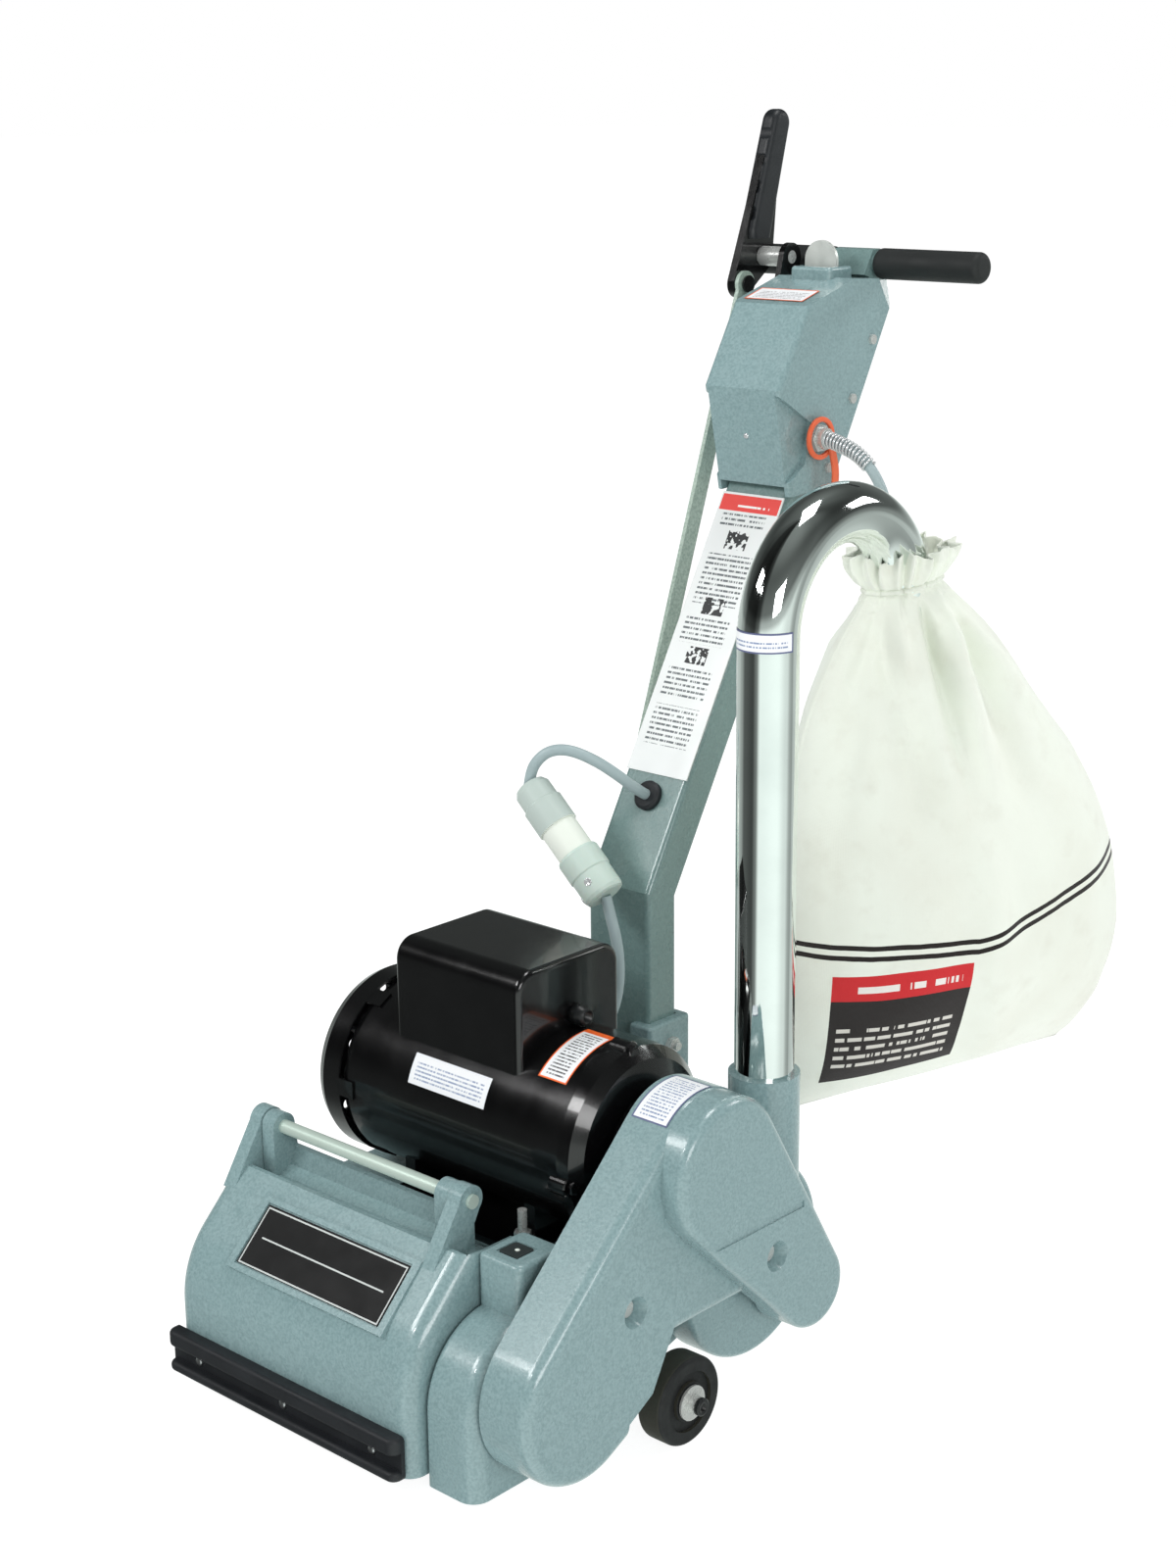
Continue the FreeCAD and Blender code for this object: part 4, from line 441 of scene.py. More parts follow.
# ---------------------------------------------------------------- making pieces
def to_object(name, mesh_maker, finish, body, smooth=True):
    """Turn a bmesh into an object at the origin that rides on a body."""
    mesh = bpy.data.meshes.new(name)
    mesh_maker.to_mesh(mesh)
    mesh_maker.free()
    piece = bpy.data.objects.new(name, mesh)
    bpy.context.scene.collection.objects.link(piece)
    mesh.materials.append(finish)
    for face in mesh.polygons:
        face.use_smooth = smooth
    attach(piece, body)
    return piece


def bent_grid(columns, rows, shape, wide, tall):
    """A grid whose vertices go where shape(u, v) says, with its UV map in metres."""
    sheet = bmesh.new()
    bmesh.ops.create_grid(sheet, x_segments=columns, y_segments=rows, size=0.5)
    layer = sheet.loops.layers.uv.new("metres")
    for face in sheet.faces:
        for loop in face.loops:
            u, v = loop.vert.co.x + 0.5, loop.vert.co.y + 0.5
            loop[layer].uv = (u * wide, v * tall)
    for vertex in sheet.verts:
        vertex.co = shape(vertex.co.x + 0.5, vertex.co.y + 0.5)
    return sheet


def give_thickness(piece, thickness, offset=1.0):
    solid = piece.modifiers.new("thickness", "SOLIDIFY")
    solid.thickness = thickness
    solid.offset = offset
    return piece


def turned_part(sheet, outline, start, axis, segments=32, spin=0.0):
    """Add a shape turned from (along, radius) points about an axis through start."""
    axis = Vector(axis).normalized()
    frame_turn = axis.to_track_quat("Z", "Y").to_matrix().to_4x4()
    edge = [sheet.verts.new(Vector((radius, 0, along))) for along, radius in outline]
    edges = [sheet.edges.new(pair) for pair in zip(edge, edge[1:])]
    made = bmesh.ops.spin(sheet, geom=edge + edges, cent=(0, 0, 0), axis=(0, 0, 1), angle=2 * math.pi,
                          steps=segments, use_merge=True)
    linked = set(edge)
    stack = list(edge)
    while stack:
        vertex = stack.pop()
        for link in vertex.link_edges:
            other = link.other_vert(vertex)
            if other not in linked:
                linked.add(other)
                stack.append(other)
    verts = list(linked)
    bmesh.ops.remove_doubles(sheet, verts=verts, dist=1e-6)
    verts = [vertex for vertex in verts if vertex.is_valid]
    faces = list({face for vertex in verts for face in vertex.link_faces})
    bmesh.ops.recalc_face_normals(sheet, faces=faces)
    turn = Matrix.Translation(Vector(start)) @ frame_turn @ Matrix.Rotation(spin, 4, "Z")
    bmesh.ops.transform(sheet, matrix=turn, verts=verts)
    return made


def hex_cap(sheet, radius, height, start, axis, spin=0.0):
    """Add a six sided bolt head with a bevelled crown."""
    made = bmesh.ops.create_cone(sheet, cap_ends=True, segments=6, radius1=radius, radius2=radius,
                                 depth=height)
    verts = made["verts"]
    top = [edge for edge in {e for v in verts for e in v.link_edges} if all(v.co.z > 0 for v in edge.verts)]
    made = bmesh.ops.bevel(sheet, geom=top, offset=height * 0.18, affect="EDGES", segments=2, profile=0.5,
                           material=-1)
    verts = list({v for face in made["faces"] for v in face.verts} | {v for v in verts if v.is_valid})
    turn = Vector(axis).normalized().to_track_quat("Z", "Y").to_matrix().to_4x4()
    lift = Matrix.Translation((0, 0, height / 2))
    move = Matrix.Translation(Vector(start)) @ turn @ Matrix.Rotation(spin, 4, "Z") @ lift
    bmesh.ops.transform(sheet, matrix=move, verts=verts)


def nurbs_cord(name, points, diameter, finish):
    """A round cord on one smooth line through given points of the working axes."""
    data = bpy.data.curves.new(name, "CURVE")
    data.dimensions = "3D"
    line = data.splines.new("NURBS")
    line.points.add(len(points) - 1)
    for point, where in zip(line.points, points):
        point.co = (*place(*where), 1)
    line.order_u = 3
    line.use_endpoint_u = True
    line.resolution_u = 16
    data.bevel_depth = diameter / 2
    data.bevel_resolution = 8
    data.use_fill_caps = True
    data.materials.append(finish)
    cord = bpy.data.objects.new(name, data)
    bpy.context.scene.collection.objects.link(cord)
    return cord


def line_of(cord):
    """Points along a cord's own line."""
    bare = cord.copy()
    bare.data = cord.data.copy()
    bare.data.bevel_depth = 0
    bare.parent = None
    bpy.context.scene.collection.objects.link(bare)
    bpy.context.view_layer.update()
    mesh = bpy.data.meshes.new_from_object(bare.evaluated_get(bpy.context.evaluated_depsgraph_get()))
    points = [vertex.co.copy() for vertex in mesh.vertices]
    bpy.data.objects.remove(bare)
    return points


def wire_path(name, points, radius, finish, body, cyclic=False):
    """A round wire through many points."""
    data = bpy.data.curves.new(name, "CURVE")
    data.dimensions = "3D"
    line = data.splines.new("POLY")
    line.points.add(len(points) - 1)
    for point, where in zip(line.points, points):
        point.co = (*where, 1)
    line.use_cyclic_u = cyclic
    data.bevel_depth = radius
    data.bevel_resolution = 4
    data.use_fill_caps = True
    data.materials.append(finish)
    wire = bpy.data.objects.new(name, data)
    bpy.context.scene.collection.objects.link(wire)
    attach(wire, body)
    return wire


# ---------------------------------------------------------------- cords
GREY_CORD = cord_skin("grey_cord", srgb(160, 178, 180))
lean_out = Vector((0, -math.cos(COLUMN_LEAN), math.sin(COLUMN_LEAN)))
LEAD_EXIT = Vector((0.024, 0.2220, 0.4640))
LEAD_UPPER = [tuple(LEAD_EXIT), tuple(LEAD_EXIT + lean_out * 0.014), (0.0149, 0.195, 0.486),
              (0.0007, 0.180, 0.5004), (-0.0185, 0.168, 0.5089), (-0.0338, 0.159, 0.5068),
              (-0.0438, 0.153, 0.4964), (-0.0487, 0.151, 0.4852), tuple(PLUG_TOP)]
LEAD_LOWER = [(0.041, 0.150, 0.3905), (0.044, 0.1505, 0.378), (0.051, 0.152, 0.354), (0.053, 0.154, 0.328),
              (0.052, 0.153, 0.302), (0.049, 0.145, 0.279), (0.047, 0.126, 0.262)]
POWER = [tuple(GLAND_FACE), (0.104, 0.4045, 0.760), (0.124, 0.405, 0.749), (0.1385, 0.407, 0.730),
         (0.145, 0.411, 0.706), (0.144, 0.418, 0.678), (0.137, 0.428, 0.644), (0.127, 0.440, 0.600),
         (0.119, 0.450, 0.545), (0.115, 0.456, 0.485), (0.116, 0.459, 0.420), (0.119, 0.460, 0.352),
         (0.120, 0.460, 0.288)]


def make_cords():
    upper = nurbs_cord("motor_lead_from_column", LEAD_UPPER, LEAD_DIAMETER, GREY_CORD)
    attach(upper, "machine")
    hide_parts("motor_lead_upper")
    lower = nurbs_cord("motor_lead_to_motor", LEAD_LOWER, LEAD_DIAMETER, GREY_CORD)
    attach(lower, "machine")
    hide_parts("motor_lead_lower")
    power = nurbs_cord("power_lead", POWER, POWER_DIAMETER, GREY_CORD)
    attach(power, "machine")
    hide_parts("power_cord")
    spring = make_spring(power)


def make_spring(cord):
    """The coil spring that keeps the cord from kinking where it leaves the gland."""
    length = 0.052
    turns = 14
    steps = 20
    coil_radius = POWER_DIAMETER / 2 + 0.0018
    line = line_of(cord)
    points = []
    done = 0.0
    marks = [0.0]
    for before, after in zip(line, line[1:]):
        done += (after - before).length
        marks.append(done)
    at = 0
    for k in range(turns * steps + 1):
        share = k / (turns * steps)
        reach = share * length
        while marks[at + 1] < reach:
            at += 1
        blend = (reach - marks[at]) / (marks[at + 1] - marks[at])
        centre = line[at].lerp(line[at + 1], blend)
        heading = (line[at + 1] - line[at]).normalized()
        side = heading.cross(Vector((0, 1, 0))).normalized()
        other = heading.cross(side)
        angle = 2 * math.pi * k / steps
        radius = coil_radius - 0.0006 * share
        points.append(centre + (side * math.cos(angle) + other * math.sin(angle)) * radius)
    return wire_path("relief_spring", points, 0.0012, BRIGHT_STEEL, "machine")


# ---------------------------------------------------------------- dust bag
# height, shift along the bag's width, half width, half thickness, tilt in degrees
BAG_SECTIONS = [
    (0.205, -0.006, 0.131, 0.000, 8.0),
    (0.216, -0.004, 0.143, 0.024, 7.5),
    (0.235, -0.001, 0.153, 0.047, 7.0),
    (0.262, 0.004, 0.161, 0.066, 6.0),
    (0.330, 0.011, 0.166, 0.090, 4.0),
    (0.430, 0.004, 0.154, 0.093, 3.0),
    (0.500, -0.006, 0.130, 0.084, 2.0),
    (0.556, -0.020, 0.101, 0.070, 1.0),
    (0.600, -0.030, 0.078, 0.057, 3.0),
    (0.625, -0.037, 0.061, 0.047, 6.0),
    (0.650, -0.043, 0.041, 0.036, 9.0),
    (0.660, -0.044, 0.034, 0.032, 10.0),
    (0.668, -0.044, 0.041, 0.037, 10.0),
    (0.680, -0.044, 0.046, 0.042, 10.0),
    (0.690, -0.043, 0.045, 0.041, 10.0),
]
# soft folds on the front: (along, height) at the top and the bottom, width, depth
FOLDS = [
    ((-0.040, 0.651), (0.002, 0.456), 0.010, 0.014),
    ((-0.022, 0.652), (0.012, 0.520), 0.008, -0.009),
    ((-0.080, 0.648), (-0.045, 0.430), 0.016, 0.012),
    ((-0.062, 0.652), (-0.070, 0.500), 0.012, -0.009),
    ((-0.085, 0.640), (-0.125, 0.470), 0.013, 0.010),
    ((-0.015, 0.645), (0.060, 0.440), 0.016, 0.010),
    ((-0.008, 0.640), (0.105, 0.500), 0.014, -0.008),
]
NECK_START, NECK_END = 0.540, 0.640      # heights between which the bag comes forward to the pipe
NECK_FORWARD = 0.010
NECK_FOOT = 0.63                        # above here the cloth's rings lie closer together
FOLD_STRENGTH = 2.4
CREASE_TOP = (-0.020, 0.645)
CREASE_FOOT = (0.020, 0.300)


def section_at(height):
    """The bag's section at a height, as smooth between its rows as a soft cloth."""
    table = BAG_SECTIONS
    row = 0
    while row < len(table) - 2 and table[row + 1][0] < height:
        row += 1
    low, high = table[row], table[row + 1]
    share = (height - low[0]) / (high[0] - low[0])
    before = table[max(row - 1, 0)]
    after = table[min(row + 2, len(table) - 1)]
    values = []
    for k in range(1, 5):
        step = high[0] - low[0]
        slope_low = (high[k] - before[k]) / max(high[0] - before[0], 1e-6) * step
        slope_high = (after[k] - low[k]) / max(after[0] - low[0], 1e-6) * step
        cube, square = share ** 3, share ** 2
        values.append((2 * cube - 3 * square + 1) * low[k] + (cube - 2 * square + share) * slope_low
                      + (3 * square - 2 * cube) * high[k] + (cube - square) * slope_high)
    values[2] = max(values[2], 0.0)
    return values


def fold_depth(along, height, top, foot, width, depth):
    """How far a fold pulls the cloth in at (along, height)."""
    if height > top[1] + 0.004 or height < foot[1] - 0.03:
        return 0.0
    share = (top[1] - height) / (top[1] - foot[1])
    line = top[0] + (foot[0] - top[0]) * share
    spread = width * (0.55 + 0.9 * max(share, 0))
    fade = min(1.0, max(0.0, 1.15 - share)) * min(1.0, 0.12 + 3.5 * max(share, 0))
    return FOLD_STRENGTH * depth * fade * math.exp(-((along - line) / spread) ** 2)


def bag_point(turn, height):
    """Where the cloth is, at an angle round the bag and a height: (along, through, up)."""
    shift, half, thick, tilt = section_at(height)
    across = math.cos(turn)
    through = math.sin(turn)
    along = shift + half * across
    depth = thick * through * abs(through) ** 0.12
    front = 1.0 if through > 0 else 0.0
    push = 0.0
    for top, foot, width, deep in FOLDS:
        mirrored = along if front else 2 * shift - along
        push -= fold_depth(mirrored, height, top, foot, width, deep)
    share = (CREASE_TOP[1] - height) / (CREASE_TOP[1] - CREASE_FOOT[1])
    if 0 < share < 1.2 and front:
        ridge = CREASE_TOP[0] + (CREASE_FOOT[0] - CREASE_TOP[0]) * share
        push += 0.010 * math.exp(-((along - ridge) / 0.022) ** 2) * min(1.0, 4 * share)
    gather = math.exp(-abs(height - TIE_HEIGHT) / 0.022)
    wave = math.sin(19 * turn + 1.3 * math.sin(3 * turn)) + 0.5 * math.sin(31 * turn + 2.0)
    ruffle = max(0.0, (height - TIE_HEIGHT) / (BAG_TOP - TIE_HEIGHT))
    push += wave * (0.0014 * gather + 0.0055 * ruffle)
    soft = Vector((along * 9, depth * 9 + 4, height * 7))
    calm = min(1.0, max(0.0, (height - 0.205) / 0.05))
    push += 0.008 * calm * noise.noise(soft) + 0.0022 * calm * noise.noise(soft * 3.1)
    hold = min(1.0, thick / 0.02)
    along += push * hold * across * (0.35 + 0.65 * ruffle)
    forward = min(1.0, max(0.0, (height - NECK_START) / (NECK_END - NECK_START)))
    depth += push * hold * through + NECK_FORWARD * forward ** 2 * (3 - 2 * forward)
    up = height + (along - shift) * math.sin(math.radians(tilt))
    up += ruffle * 0.0035 * math.sin(7 * turn + 0.8) - 0.004 * ruffle * math.cos(turn)
    return along, depth, up


def bag_place(along, through, up):
    """A point of the bag's own axes, in the frame."""
    wide = Vector((math.cos(BAG_HEADING), math.sin(BAG_HEADING), 0))
    out = Vector((math.sin(BAG_HEADING), -math.cos(BAG_HEADING), 0))
    return ORIGIN + BAG_CENTRE + wide * along + out * through + Vector((0, 0, up))


def make_bag():
    segments = 264
    rings = 132
    neck_share = 0.72
    sheet = bmesh.new()
    made = bmesh.ops.create_cone(sheet, cap_ends=False, segments=segments, radius1=1, radius2=1, depth=1)
    upright = [edge for edge in sheet.edges if abs(edge.verts[0].co.z - edge.verts[1].co.z) > 0.5]
    bmesh.ops.subdivide_edges(sheet, edges=upright, cuts=rings)
    bottom = BAG_SECTIONS[0][0]
    layer = sheet.loops.layers.uv.new("metres")
    flat = {}
    for vertex in sheet.verts:
        share = vertex.co.z + 0.5
        if share < neck_share:
            height = bottom + (NECK_FOOT - bottom) * (share / neck_share) ** 1.05
        else:
            height = NECK_FOOT + (BAG_TOP - NECK_FOOT) * (share - neck_share) / (1 - neck_share)
        turn = math.atan2(vertex.co.y, vertex.co.x)
        along, through, up = bag_point(turn, height)
        flat[vertex.index] = (along, up)
        vertex.co = bag_place(along, through, up)
    out = Vector((math.sin(BAG_HEADING), -math.cos(BAG_HEADING), 0))
    middle = ORIGIN + BAG_CENTRE
    for face in sheet.faces:
        side = 0.5 if (face.calc_center_median() - middle).dot(out) > 0 else -0.5
        for loop in face.loops:
            along, up = flat[loop.vert.index]
            loop[layer].uv = (along + side, up)
    bmesh.ops.remove_doubles(sheet, verts=sheet.verts, dist=0.00005)
    bmesh.ops.recalc_face_normals(sheet, faces=sheet.faces)
    bag = to_object("dust_bag_cloth", sheet, FINISHES["canvas"], "machine")
    give_thickness(bag, 0.0012, -1.0)
    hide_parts("dust_bag")
    loop = []
    for k in range(144):
        turn = 2 * math.pi * k / 144
        along, through, up = bag_point(turn, TIE_HEIGHT)
        loop.append(bag_place(along + 0.0006 * math.cos(turn), through + 0.0006 * math.sin(turn), up))
    wire_path("bag_drawstring", loop, 0.0024, FINISHES["canvas"], "machine", cyclic=True)
    return bag


# ---------------------------------------------------------------- labels
def wrapped_label(name, axis, radius, span_x, angles, material):
    """A label round a cylinder that lies along X; angles are from +Y, in degrees."""
    y, z = axis
    low, high = (math.radians(angle) for angle in angles)

    def shape(u, v):
        angle = low + (high - low) * v
        x = span_x[0] + (span_x[1] - span_x[0]) * u
        reach = radius + PAPER
        return place(x, y + reach * math.cos(angle), z + reach * math.sin(angle))
    width = span_x[1] - span_x[0]
    height = radius * abs(high - low)
    sheet = bent_grid(12, 24, shape, width, height)
    return to_object(name, sheet, material(name + "_print", width, height), "machine")


def make_labels():
    white = srgb(236, 240, 244)
    ink = srgb(140, 156, 186)
    orange = srgb(240, 104, 38)
    navy = srgb(96, 104, 140)
    wrapped_label("motor_label_white", MOTOR_AXIS, MOTOR_RADIUS, (-0.015, 0.075), (162.5, 144.0),
                  lambda name, w, h: printed_label(name, w, h, white, ink))
    wrapped_label("motor_label_orange", MOTOR_AXIS, MOTOR_RADIUS, (0.117, 0.148), (133.5, 87.0),
                  lambda name, w, h: printed_label(name, w, h, orange, srgb(60, 60, 62), (orange, 0.10)))
    y, z, radius = GUARD_CROWN
    wrapped_label("guard_label", (y, z), radius, (0.2060, 0.2430), (135.0, 80.0),
                  lambda name, w, h: printed_label(name, w, h, navy, ink))
    x, y, radius = PIPE

    def band(u, v):
        angle = math.radians(-152 + 150 * u)
        reach = radius + PAPER
        return place(x + reach * math.cos(angle), y + reach * math.sin(angle), 0.6345 + 0.0165 * v)
    wide = radius * math.radians(150)
    sheet = bent_grid(48, 2, band, wide, 0.0165)
    print_on_pipe = printed_label("pipe_label_print", wide, 0.0165, navy, ink)
    to_object("pipe_label", sheet, print_on_pipe, "machine")
    foot = Vector((-0.012, 0.4005, 0.8846))
    up = Vector((0, 0.067, 0.020)).normalized()
    out = Vector((0, -up.z, up.y))

    def top(u, v):
        return place(*(foot + Vector((0.066 * u, 0, 0)) + up * (0.027 * v) + out * 0.0004))
    sheet = bent_grid(4, 4, top, 0.066, 0.027)
    to_object("housing_label", sheet, printed_label("housing_label_print", 0.066, 0.027, orange,
                                                   srgb(150, 150, 152)), "machine")


# ---------------------------------------------------------------- small fittings
def make_motor_fittings():
    """Bolts round the drive end bell and the lead's bushing."""
    y, z = MOTOR_AXIS
    sheet = bmesh.new()
    for degrees in (92, 12, 192, 272):
        angle = math.radians(degrees)
        centre = place(MOTOR_FACE - 0.021, y + 0.0775 * math.cos(angle), z + 0.0775 * math.sin(angle))
        turned_part(sheet, [(-0.012, 0), (-0.012, 0.0095), (0.004, 0.0095), (0.0052, 0.0085), (0.0052, 0)],
                    centre, (1, 0, 0))
        hex_cap(sheet, 0.0062, 0.0048, centre + Vector((0.0052, 0, 0)), (1, 0, 0), angle)
    to_object("motor_through_bolts", sheet, FINISHES["motor_black"], "machine", smooth=False)
    sheet = bmesh.new()
    base = place(0.0995, 0.046, 0.3262)
    turned_part(sheet, [(0, 0), (0, 0.0085), (0.008, 0.0085), (0.0095, 0.0072), (0.015, 0.0068),
                        (0.015, 0.005), (0.009, 0.005), (0.009, 0)], base, (1, 0, 0))
    to_object("lead_bushing", sheet, FINISHES["black_plastic"], "machine")


def make_plug_screws():
    """Clamp screws on the connector's side."""
    along = (PLUG_END - PLUG_TOP).normalized()
    sheet = bmesh.new()
    for share, side in ((0.88, Vector((0.35, -0.9, 0.25))), (0.93, Vector((-0.75, -0.5, -0.6)))):
        side = (side - along * side.dot(along)).normalized()
        centre = place(*(PLUG_TOP + along * (PLUG_END - PLUG_TOP).length * share + side * 0.0182))
        turned_part(sheet, [(0, 0), (0, 0.0036), (0.0012, 0.0034), (0.0014, 0.0028), (0.0009, 0.0022),
                            (0.0009, 0)], centre, side, 20)
    to_object("connector_screws", sheet, BRIGHT_STEEL, "machine")


def make_strap():
    """An orange ring round the gland with a hanging tail."""
    orange = moulded("orange_strap", srgb(236, 104, 62), 0.45)
    centre = place(0.0735, 0.405, 0.765)
    tail_length = 0.052
    tail_width = 0.009
    sheet = bmesh.new()
    turned_part(sheet, [(-0.0016, 0.0148), (-0.0016, 0.0192), (0.0016, 0.0192), (0.0016, 0.0148),
                        (-0.0016, 0.0148)], centre, (1, 0, 0), 40)
    ring = to_object("strap_ring", sheet, orange, "machine")
    bevel = ring.modifiers.new("soft_edges", "BEVEL")
    bevel.width = 0.0006
    bevel.segments = 2

    def tail(u, v):
        sway = 0.0012 + 0.0035 * math.sin(2.6 * v)
        curl = 0.008 + 0.004 * math.sin(3 * v)
        return centre + Vector((sway, curl + tail_width * u, -0.006 - tail_length * v))
    sheet = bent_grid(4, 20, tail, tail_width, tail_length)
    give_thickness(to_object("strap_tail", sheet, orange, "machine"), 0.0016, 0.0)


def make_wheel_bolts():
    """Black socket screws on the ends of the wheel axle."""
    low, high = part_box("wheel_axle")
    middle_y = (low.y + high.y) / 2
    middle_z = (low.z + high.z) / 2
    bolts = bmesh.new()
    for x, side in ((high.x, 1), (low.x, -1)):
        turned_part(bolts, [(-0.001, 0), (-0.001, 0.0075), (0.0035, 0.0075), (0.0043, 0.0066),
                            (0.0043, 0.0036), (0.0012, 0.0036), (0.0012, 0)],
                    (x, middle_y, middle_z), (side, 0, 0), 28)
    to_object("axle_screws", bolts, FINISHES["black_plastic"], "truck")


def make_plaque():
    """A small dark badge with rounded corners in the recess on top of the fender's block."""
    sheet = bmesh.new()
    made = bmesh.ops.create_cube(sheet, size=1)
    bmesh.ops.scale(sheet, vec=(0.021, 0.021, 0.0014), verts=made["verts"])
    upright = [edge for edge in sheet.edges if abs(edge.verts[0].co.z - edge.verts[1].co.z) > 0.001]
    bmesh.ops.bevel(sheet, geom=upright, offset=0.003, affect="EDGES", segments=4, profile=0.5, material=-1)
    rim = [edge for edge in sheet.edges if all(v.co.z > 0.0006 for v in edge.verts)]
    bmesh.ops.bevel(sheet, geom=rim, offset=0.0003, affect="EDGES", segments=2, profile=0.5, material=-1)
    bmesh.ops.translate(sheet, vec=place(0.166, -0.096, 0.1833), verts=sheet.verts)
    to_object("fender_badge", sheet, matt_black("badge_face", srgb(44, 52, 52), 0.4, 300, 0.0001),
              "machine", smooth=False)
    dot = bmesh.new()
    turned_part(dot, [(0, 0), (0, 0.0022), (0.0006, 0.0019), (0.0008, 0)], place(0.167, -0.096, 0.1840),
                (0, 0, 1), 20)
    to_object("fender_badge_dot", dot, FINISHES["white_plastic"], "machine")


def make_bumper_screws():
    """Little screws in the bumper's channel."""
    low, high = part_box("front_bumper")
    sheet = bmesh.new()
    floor_y = high.y - 0.004
    for share in (0.12, 0.5, 0.88):
        x = low.x + (high.x - low.x) * share
        turned_part(sheet, [(0, 0), (0, 0.0042), (0.0014, 0.0037), (0.002, 0.0018), (0.002, 0)],
                    (x, floor_y, low.z + BUMPER_MOUTH), (0, -1, 0), 20)
    to_object("bumper_screws", sheet, FINISHES["steel"], "cover")


def make_housing_dots():
    """Screw plugs on the front of the switch housing and ticks beside the switch."""
    sheet = bmesh.new()
    for x, y, z in ((0.024, 0.3600, 0.768), (0.006, 0.3745, 0.843), (0.042, 0.3745, 0.843)):
        turned_part(sheet, [(-0.002, 0), (-0.002, 0.0026), (0.0005, 0.0024), (0.0009, 0.0012), (0.0009, 0)],
                    place(x, y, z), (0, -0.97, 0.22), 20)
    to_object("housing_plugs", sheet, BRIGHT_STEEL, "machine")


# ---------------------------------------------------------------- studio
# how bright the room looks in a polished surface: round about from -X by -Y, +X and +Y,
# and from below to above
ROOM_BANDS = [(0.0, 0.55), (0.05, 0.35), (0.10, 0.10), (0.20, 0.06), (0.24, 0.20), (0.28, 1.0), (0.46, 1.1),
              (0.56, 0.8), (0.62, 0.35), (0.70, 0.6), (0.80, 0.9), (1.0, 0.55)]
SKY_BANDS = [(0.0, 1.0), (0.47, 1.0), (0.52, 0.5), (0.60, 0.16), (0.80, 0.10), (1.0, 0.22)]
SKY_LIGHT = 0.46
LAMPS = [
    ("key", (-1.6, -2.4, 2.6), (0, 0.05, 0.35), 1.2, 40),
    ("glint", (-0.5, -2.6, 2.2), (0, 0.05, 0.3), 0.3, 9),
    ("fill", (2.8, -1.4, 1.5), (0, 0.1, 0.4), 1.4, 29),
    ("top", (0.3, 0.6, 3.2), (0, 0.1, 0.3), 1.2, 26),
    ("rim", (1.6, 2.6, 1.9), (0, 0.2, 0.5), 1.0, 16),
]


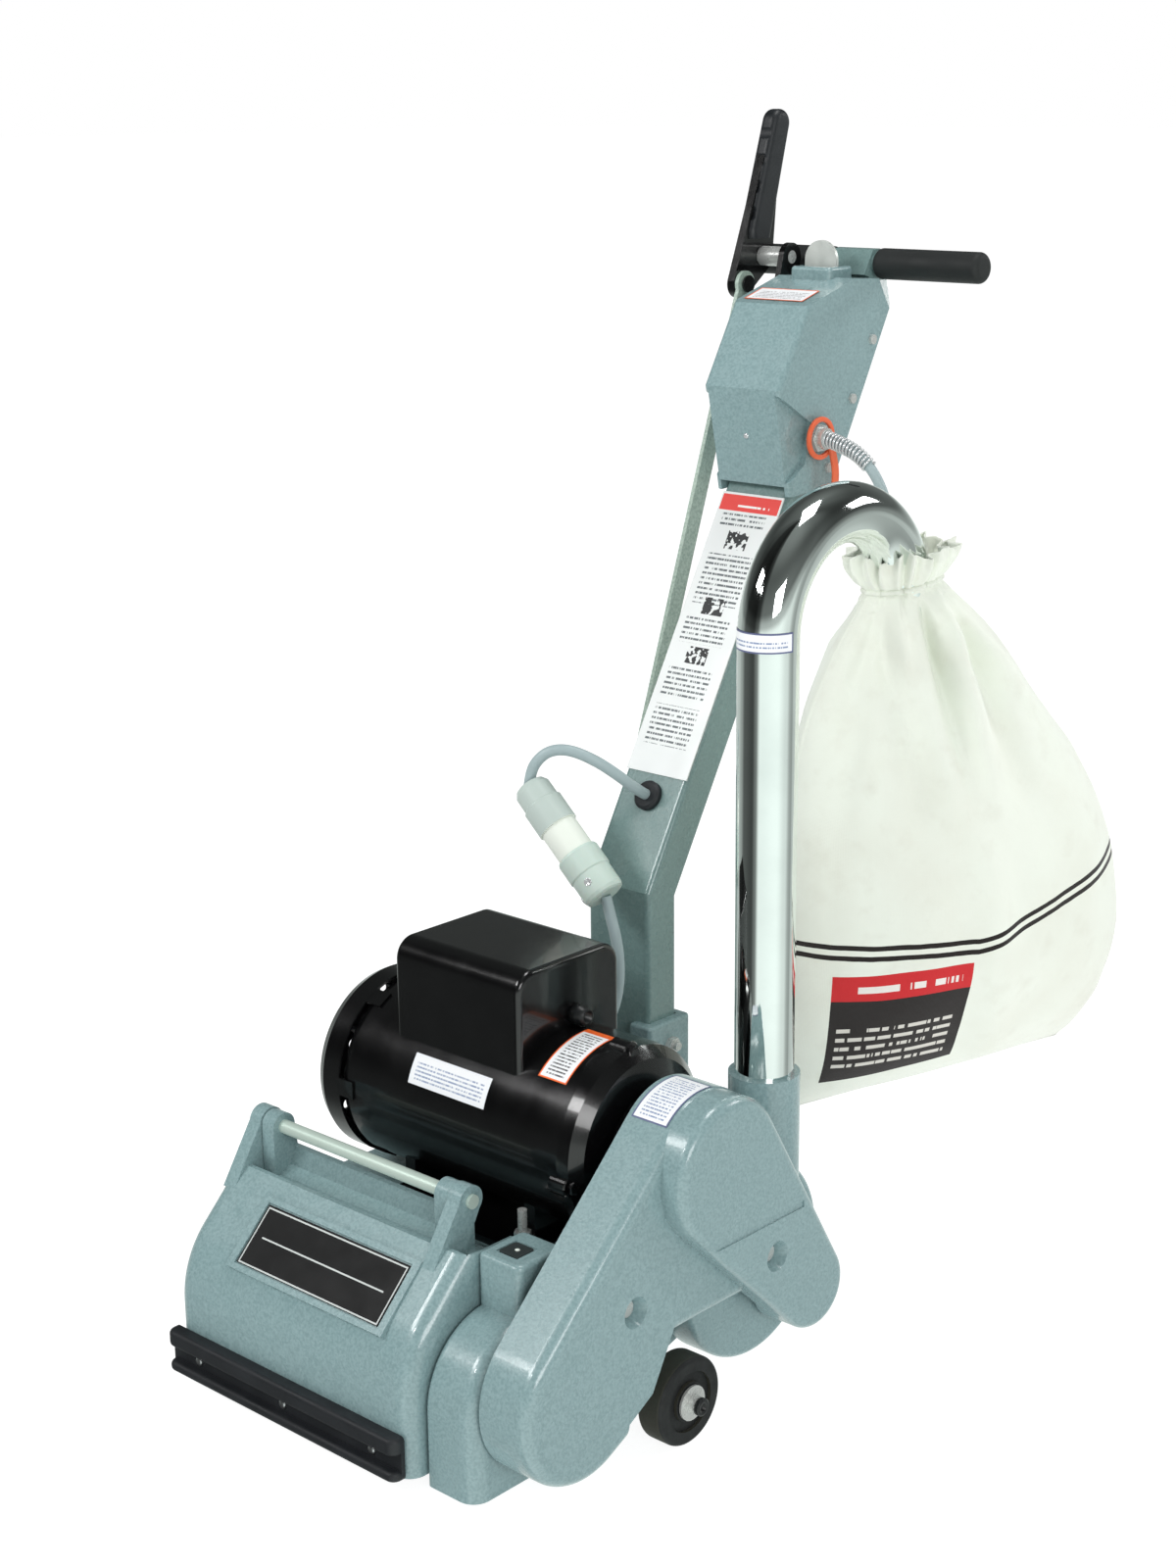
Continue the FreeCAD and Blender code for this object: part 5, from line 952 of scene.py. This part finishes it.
def make_studio():
    """White floor and sky, with dark and bright bands that only polished surfaces see."""
    floor = bmesh.new()
    bmesh.ops.create_grid(floor, x_segments=1, y_segments=1, size=60)
    mesh = bpy.data.meshes.new("floor")
    floor.to_mesh(mesh)
    floor.free()
    ground = bpy.data.objects.new("floor", mesh)
    bpy.context.scene.collection.objects.link(ground)
    pale = Finish("pale_floor", (0.30, 0.30, 0.30), 0.8, Specular_IOR_Level=0.0, Emission_Strength=0.9)
    pale.shader.inputs["Emission Color"].default_value = (1, 1, 1, 1)
    clear = pale.node("BsdfTransparent")
    polished = pale.node("LightPath").outputs["Is Glossy Ray"]
    skip = pale.node("MixShader", {0: polished, 1: pale.shader.outputs[0], 2: clear.outputs[0]})
    pale.feed(skip.outputs[0], pale.tree.nodes["Material Output"].inputs[0])
    mesh.materials.append(pale.material)
    world = bpy.data.worlds.new("studio")
    bpy.context.scene.world = world
    world.use_nodes = True
    tree = world.node_tree

    def node(kind, inputs=None, **settings):
        made = tree.nodes.new("ShaderNode" + kind)
        for key, value in settings.items():
            setattr(made, key, value)
        for key, value in (inputs or {}).items():
            if isinstance(value, bpy.types.NodeSocket):
                tree.links.new(value, made.inputs[key])
            else:
                made.inputs[key].default_value = value
        return made

    def ramp(value, stops):
        made = node("ValToRGB", {0: value})
        made.color_ramp.interpolation = "EASE"
        first, last = made.color_ramp.elements
        first.position, last.position = stops[0][0], stops[-1][0]
        first.color, last.color = [(grey * 0.96, grey, grey * 0.98, 1) for _, grey in (stops[0], stops[-1])]
        for position, grey in stops[1:-1]:
            made.color_ramp.elements.new(position).color = (grey * 0.96, grey, grey * 0.98, 1)
        return made.outputs[0]

    split = node("SeparateXYZ", {0: node("TexCoord").outputs["Generated"]})
    heading = node("Math", {0: split.outputs[1], 1: split.outputs[0]}, operation="ARCTAN2").outputs[0]
    round_about = node("MapRange", {"Value": heading, "From Min": -math.pi, "From Max": math.pi}).outputs[0]
    upright = ramp(round_about, ROOM_BANDS)
    level = ramp(node("MapRange", {"Value": split.outputs[2], "From Min": -1.0}).outputs[0], SKY_BANDS)
    seen = node("Mix", {"Factor": 1.0, 6: upright, 7: level}, data_type="RGBA",
                blend_type="MULTIPLY").outputs[2]
    rays = node("LightPath").outputs
    glossy = node("Background", {"Color": seen, "Strength": 1.0})
    plain = node("Background", {"Color": (1, 1, 1, 1), "Strength": SKY_LIGHT})
    white = node("Background", {"Color": (1, 1, 1, 1), "Strength": 1.0})
    lit = node("MixShader", {0: rays["Is Glossy Ray"], 1: plain.outputs[0], 2: glossy.outputs[0]})
    shown = node("MixShader", {0: rays["Is Camera Ray"], 1: lit.outputs[0], 2: white.outputs[0]})
    tree.links.new(shown.outputs[0], tree.nodes["World Output"].inputs[0])
    for name, spot, aim, size, power in LAMPS:
        data = bpy.data.lights.new(name, "AREA")
        data.shape = "RECTANGLE"
        data.size = size
        data.size_y = size * 0.7
        data.energy = power
        lamp = bpy.data.objects.new(name, data)
        bpy.context.scene.collection.objects.link(lamp)
        lamp.location = place(*spot)
        lamp.rotation_euler = (place(*aim) - lamp.location).to_track_quat("-Z", "Y").to_euler()
    bpy.context.scene.view_settings.view_transform = "Standard"


def make_camera():
    data = bpy.data.cameras.new("camera")
    data.lens = 57.106
    data.sensor_width = 36
    camera = bpy.data.objects.new("camera", data)
    bpy.context.scene.collection.objects.link(camera)
    right = Vector((0.73717, 0.67564, -0.00942))
    upward = Vector((-0.17408, 0.20338, 0.96350))
    ahead = Vector((-0.65289, 0.70863, -0.26754))
    turn = Matrix((right, upward, -ahead)).transposed().to_4x4()
    camera.matrix_world = Matrix.Translation(place(1.4277, -1.3767, 1.0645)) @ turn
    bpy.context.scene.camera = camera


make_cords()
make_bag()
make_labels()
make_motor_fittings()
make_plug_screws()
make_strap()
make_wheel_bolts()
make_plaque()
make_bumper_screws()
make_housing_dots()
make_studio()
make_camera()
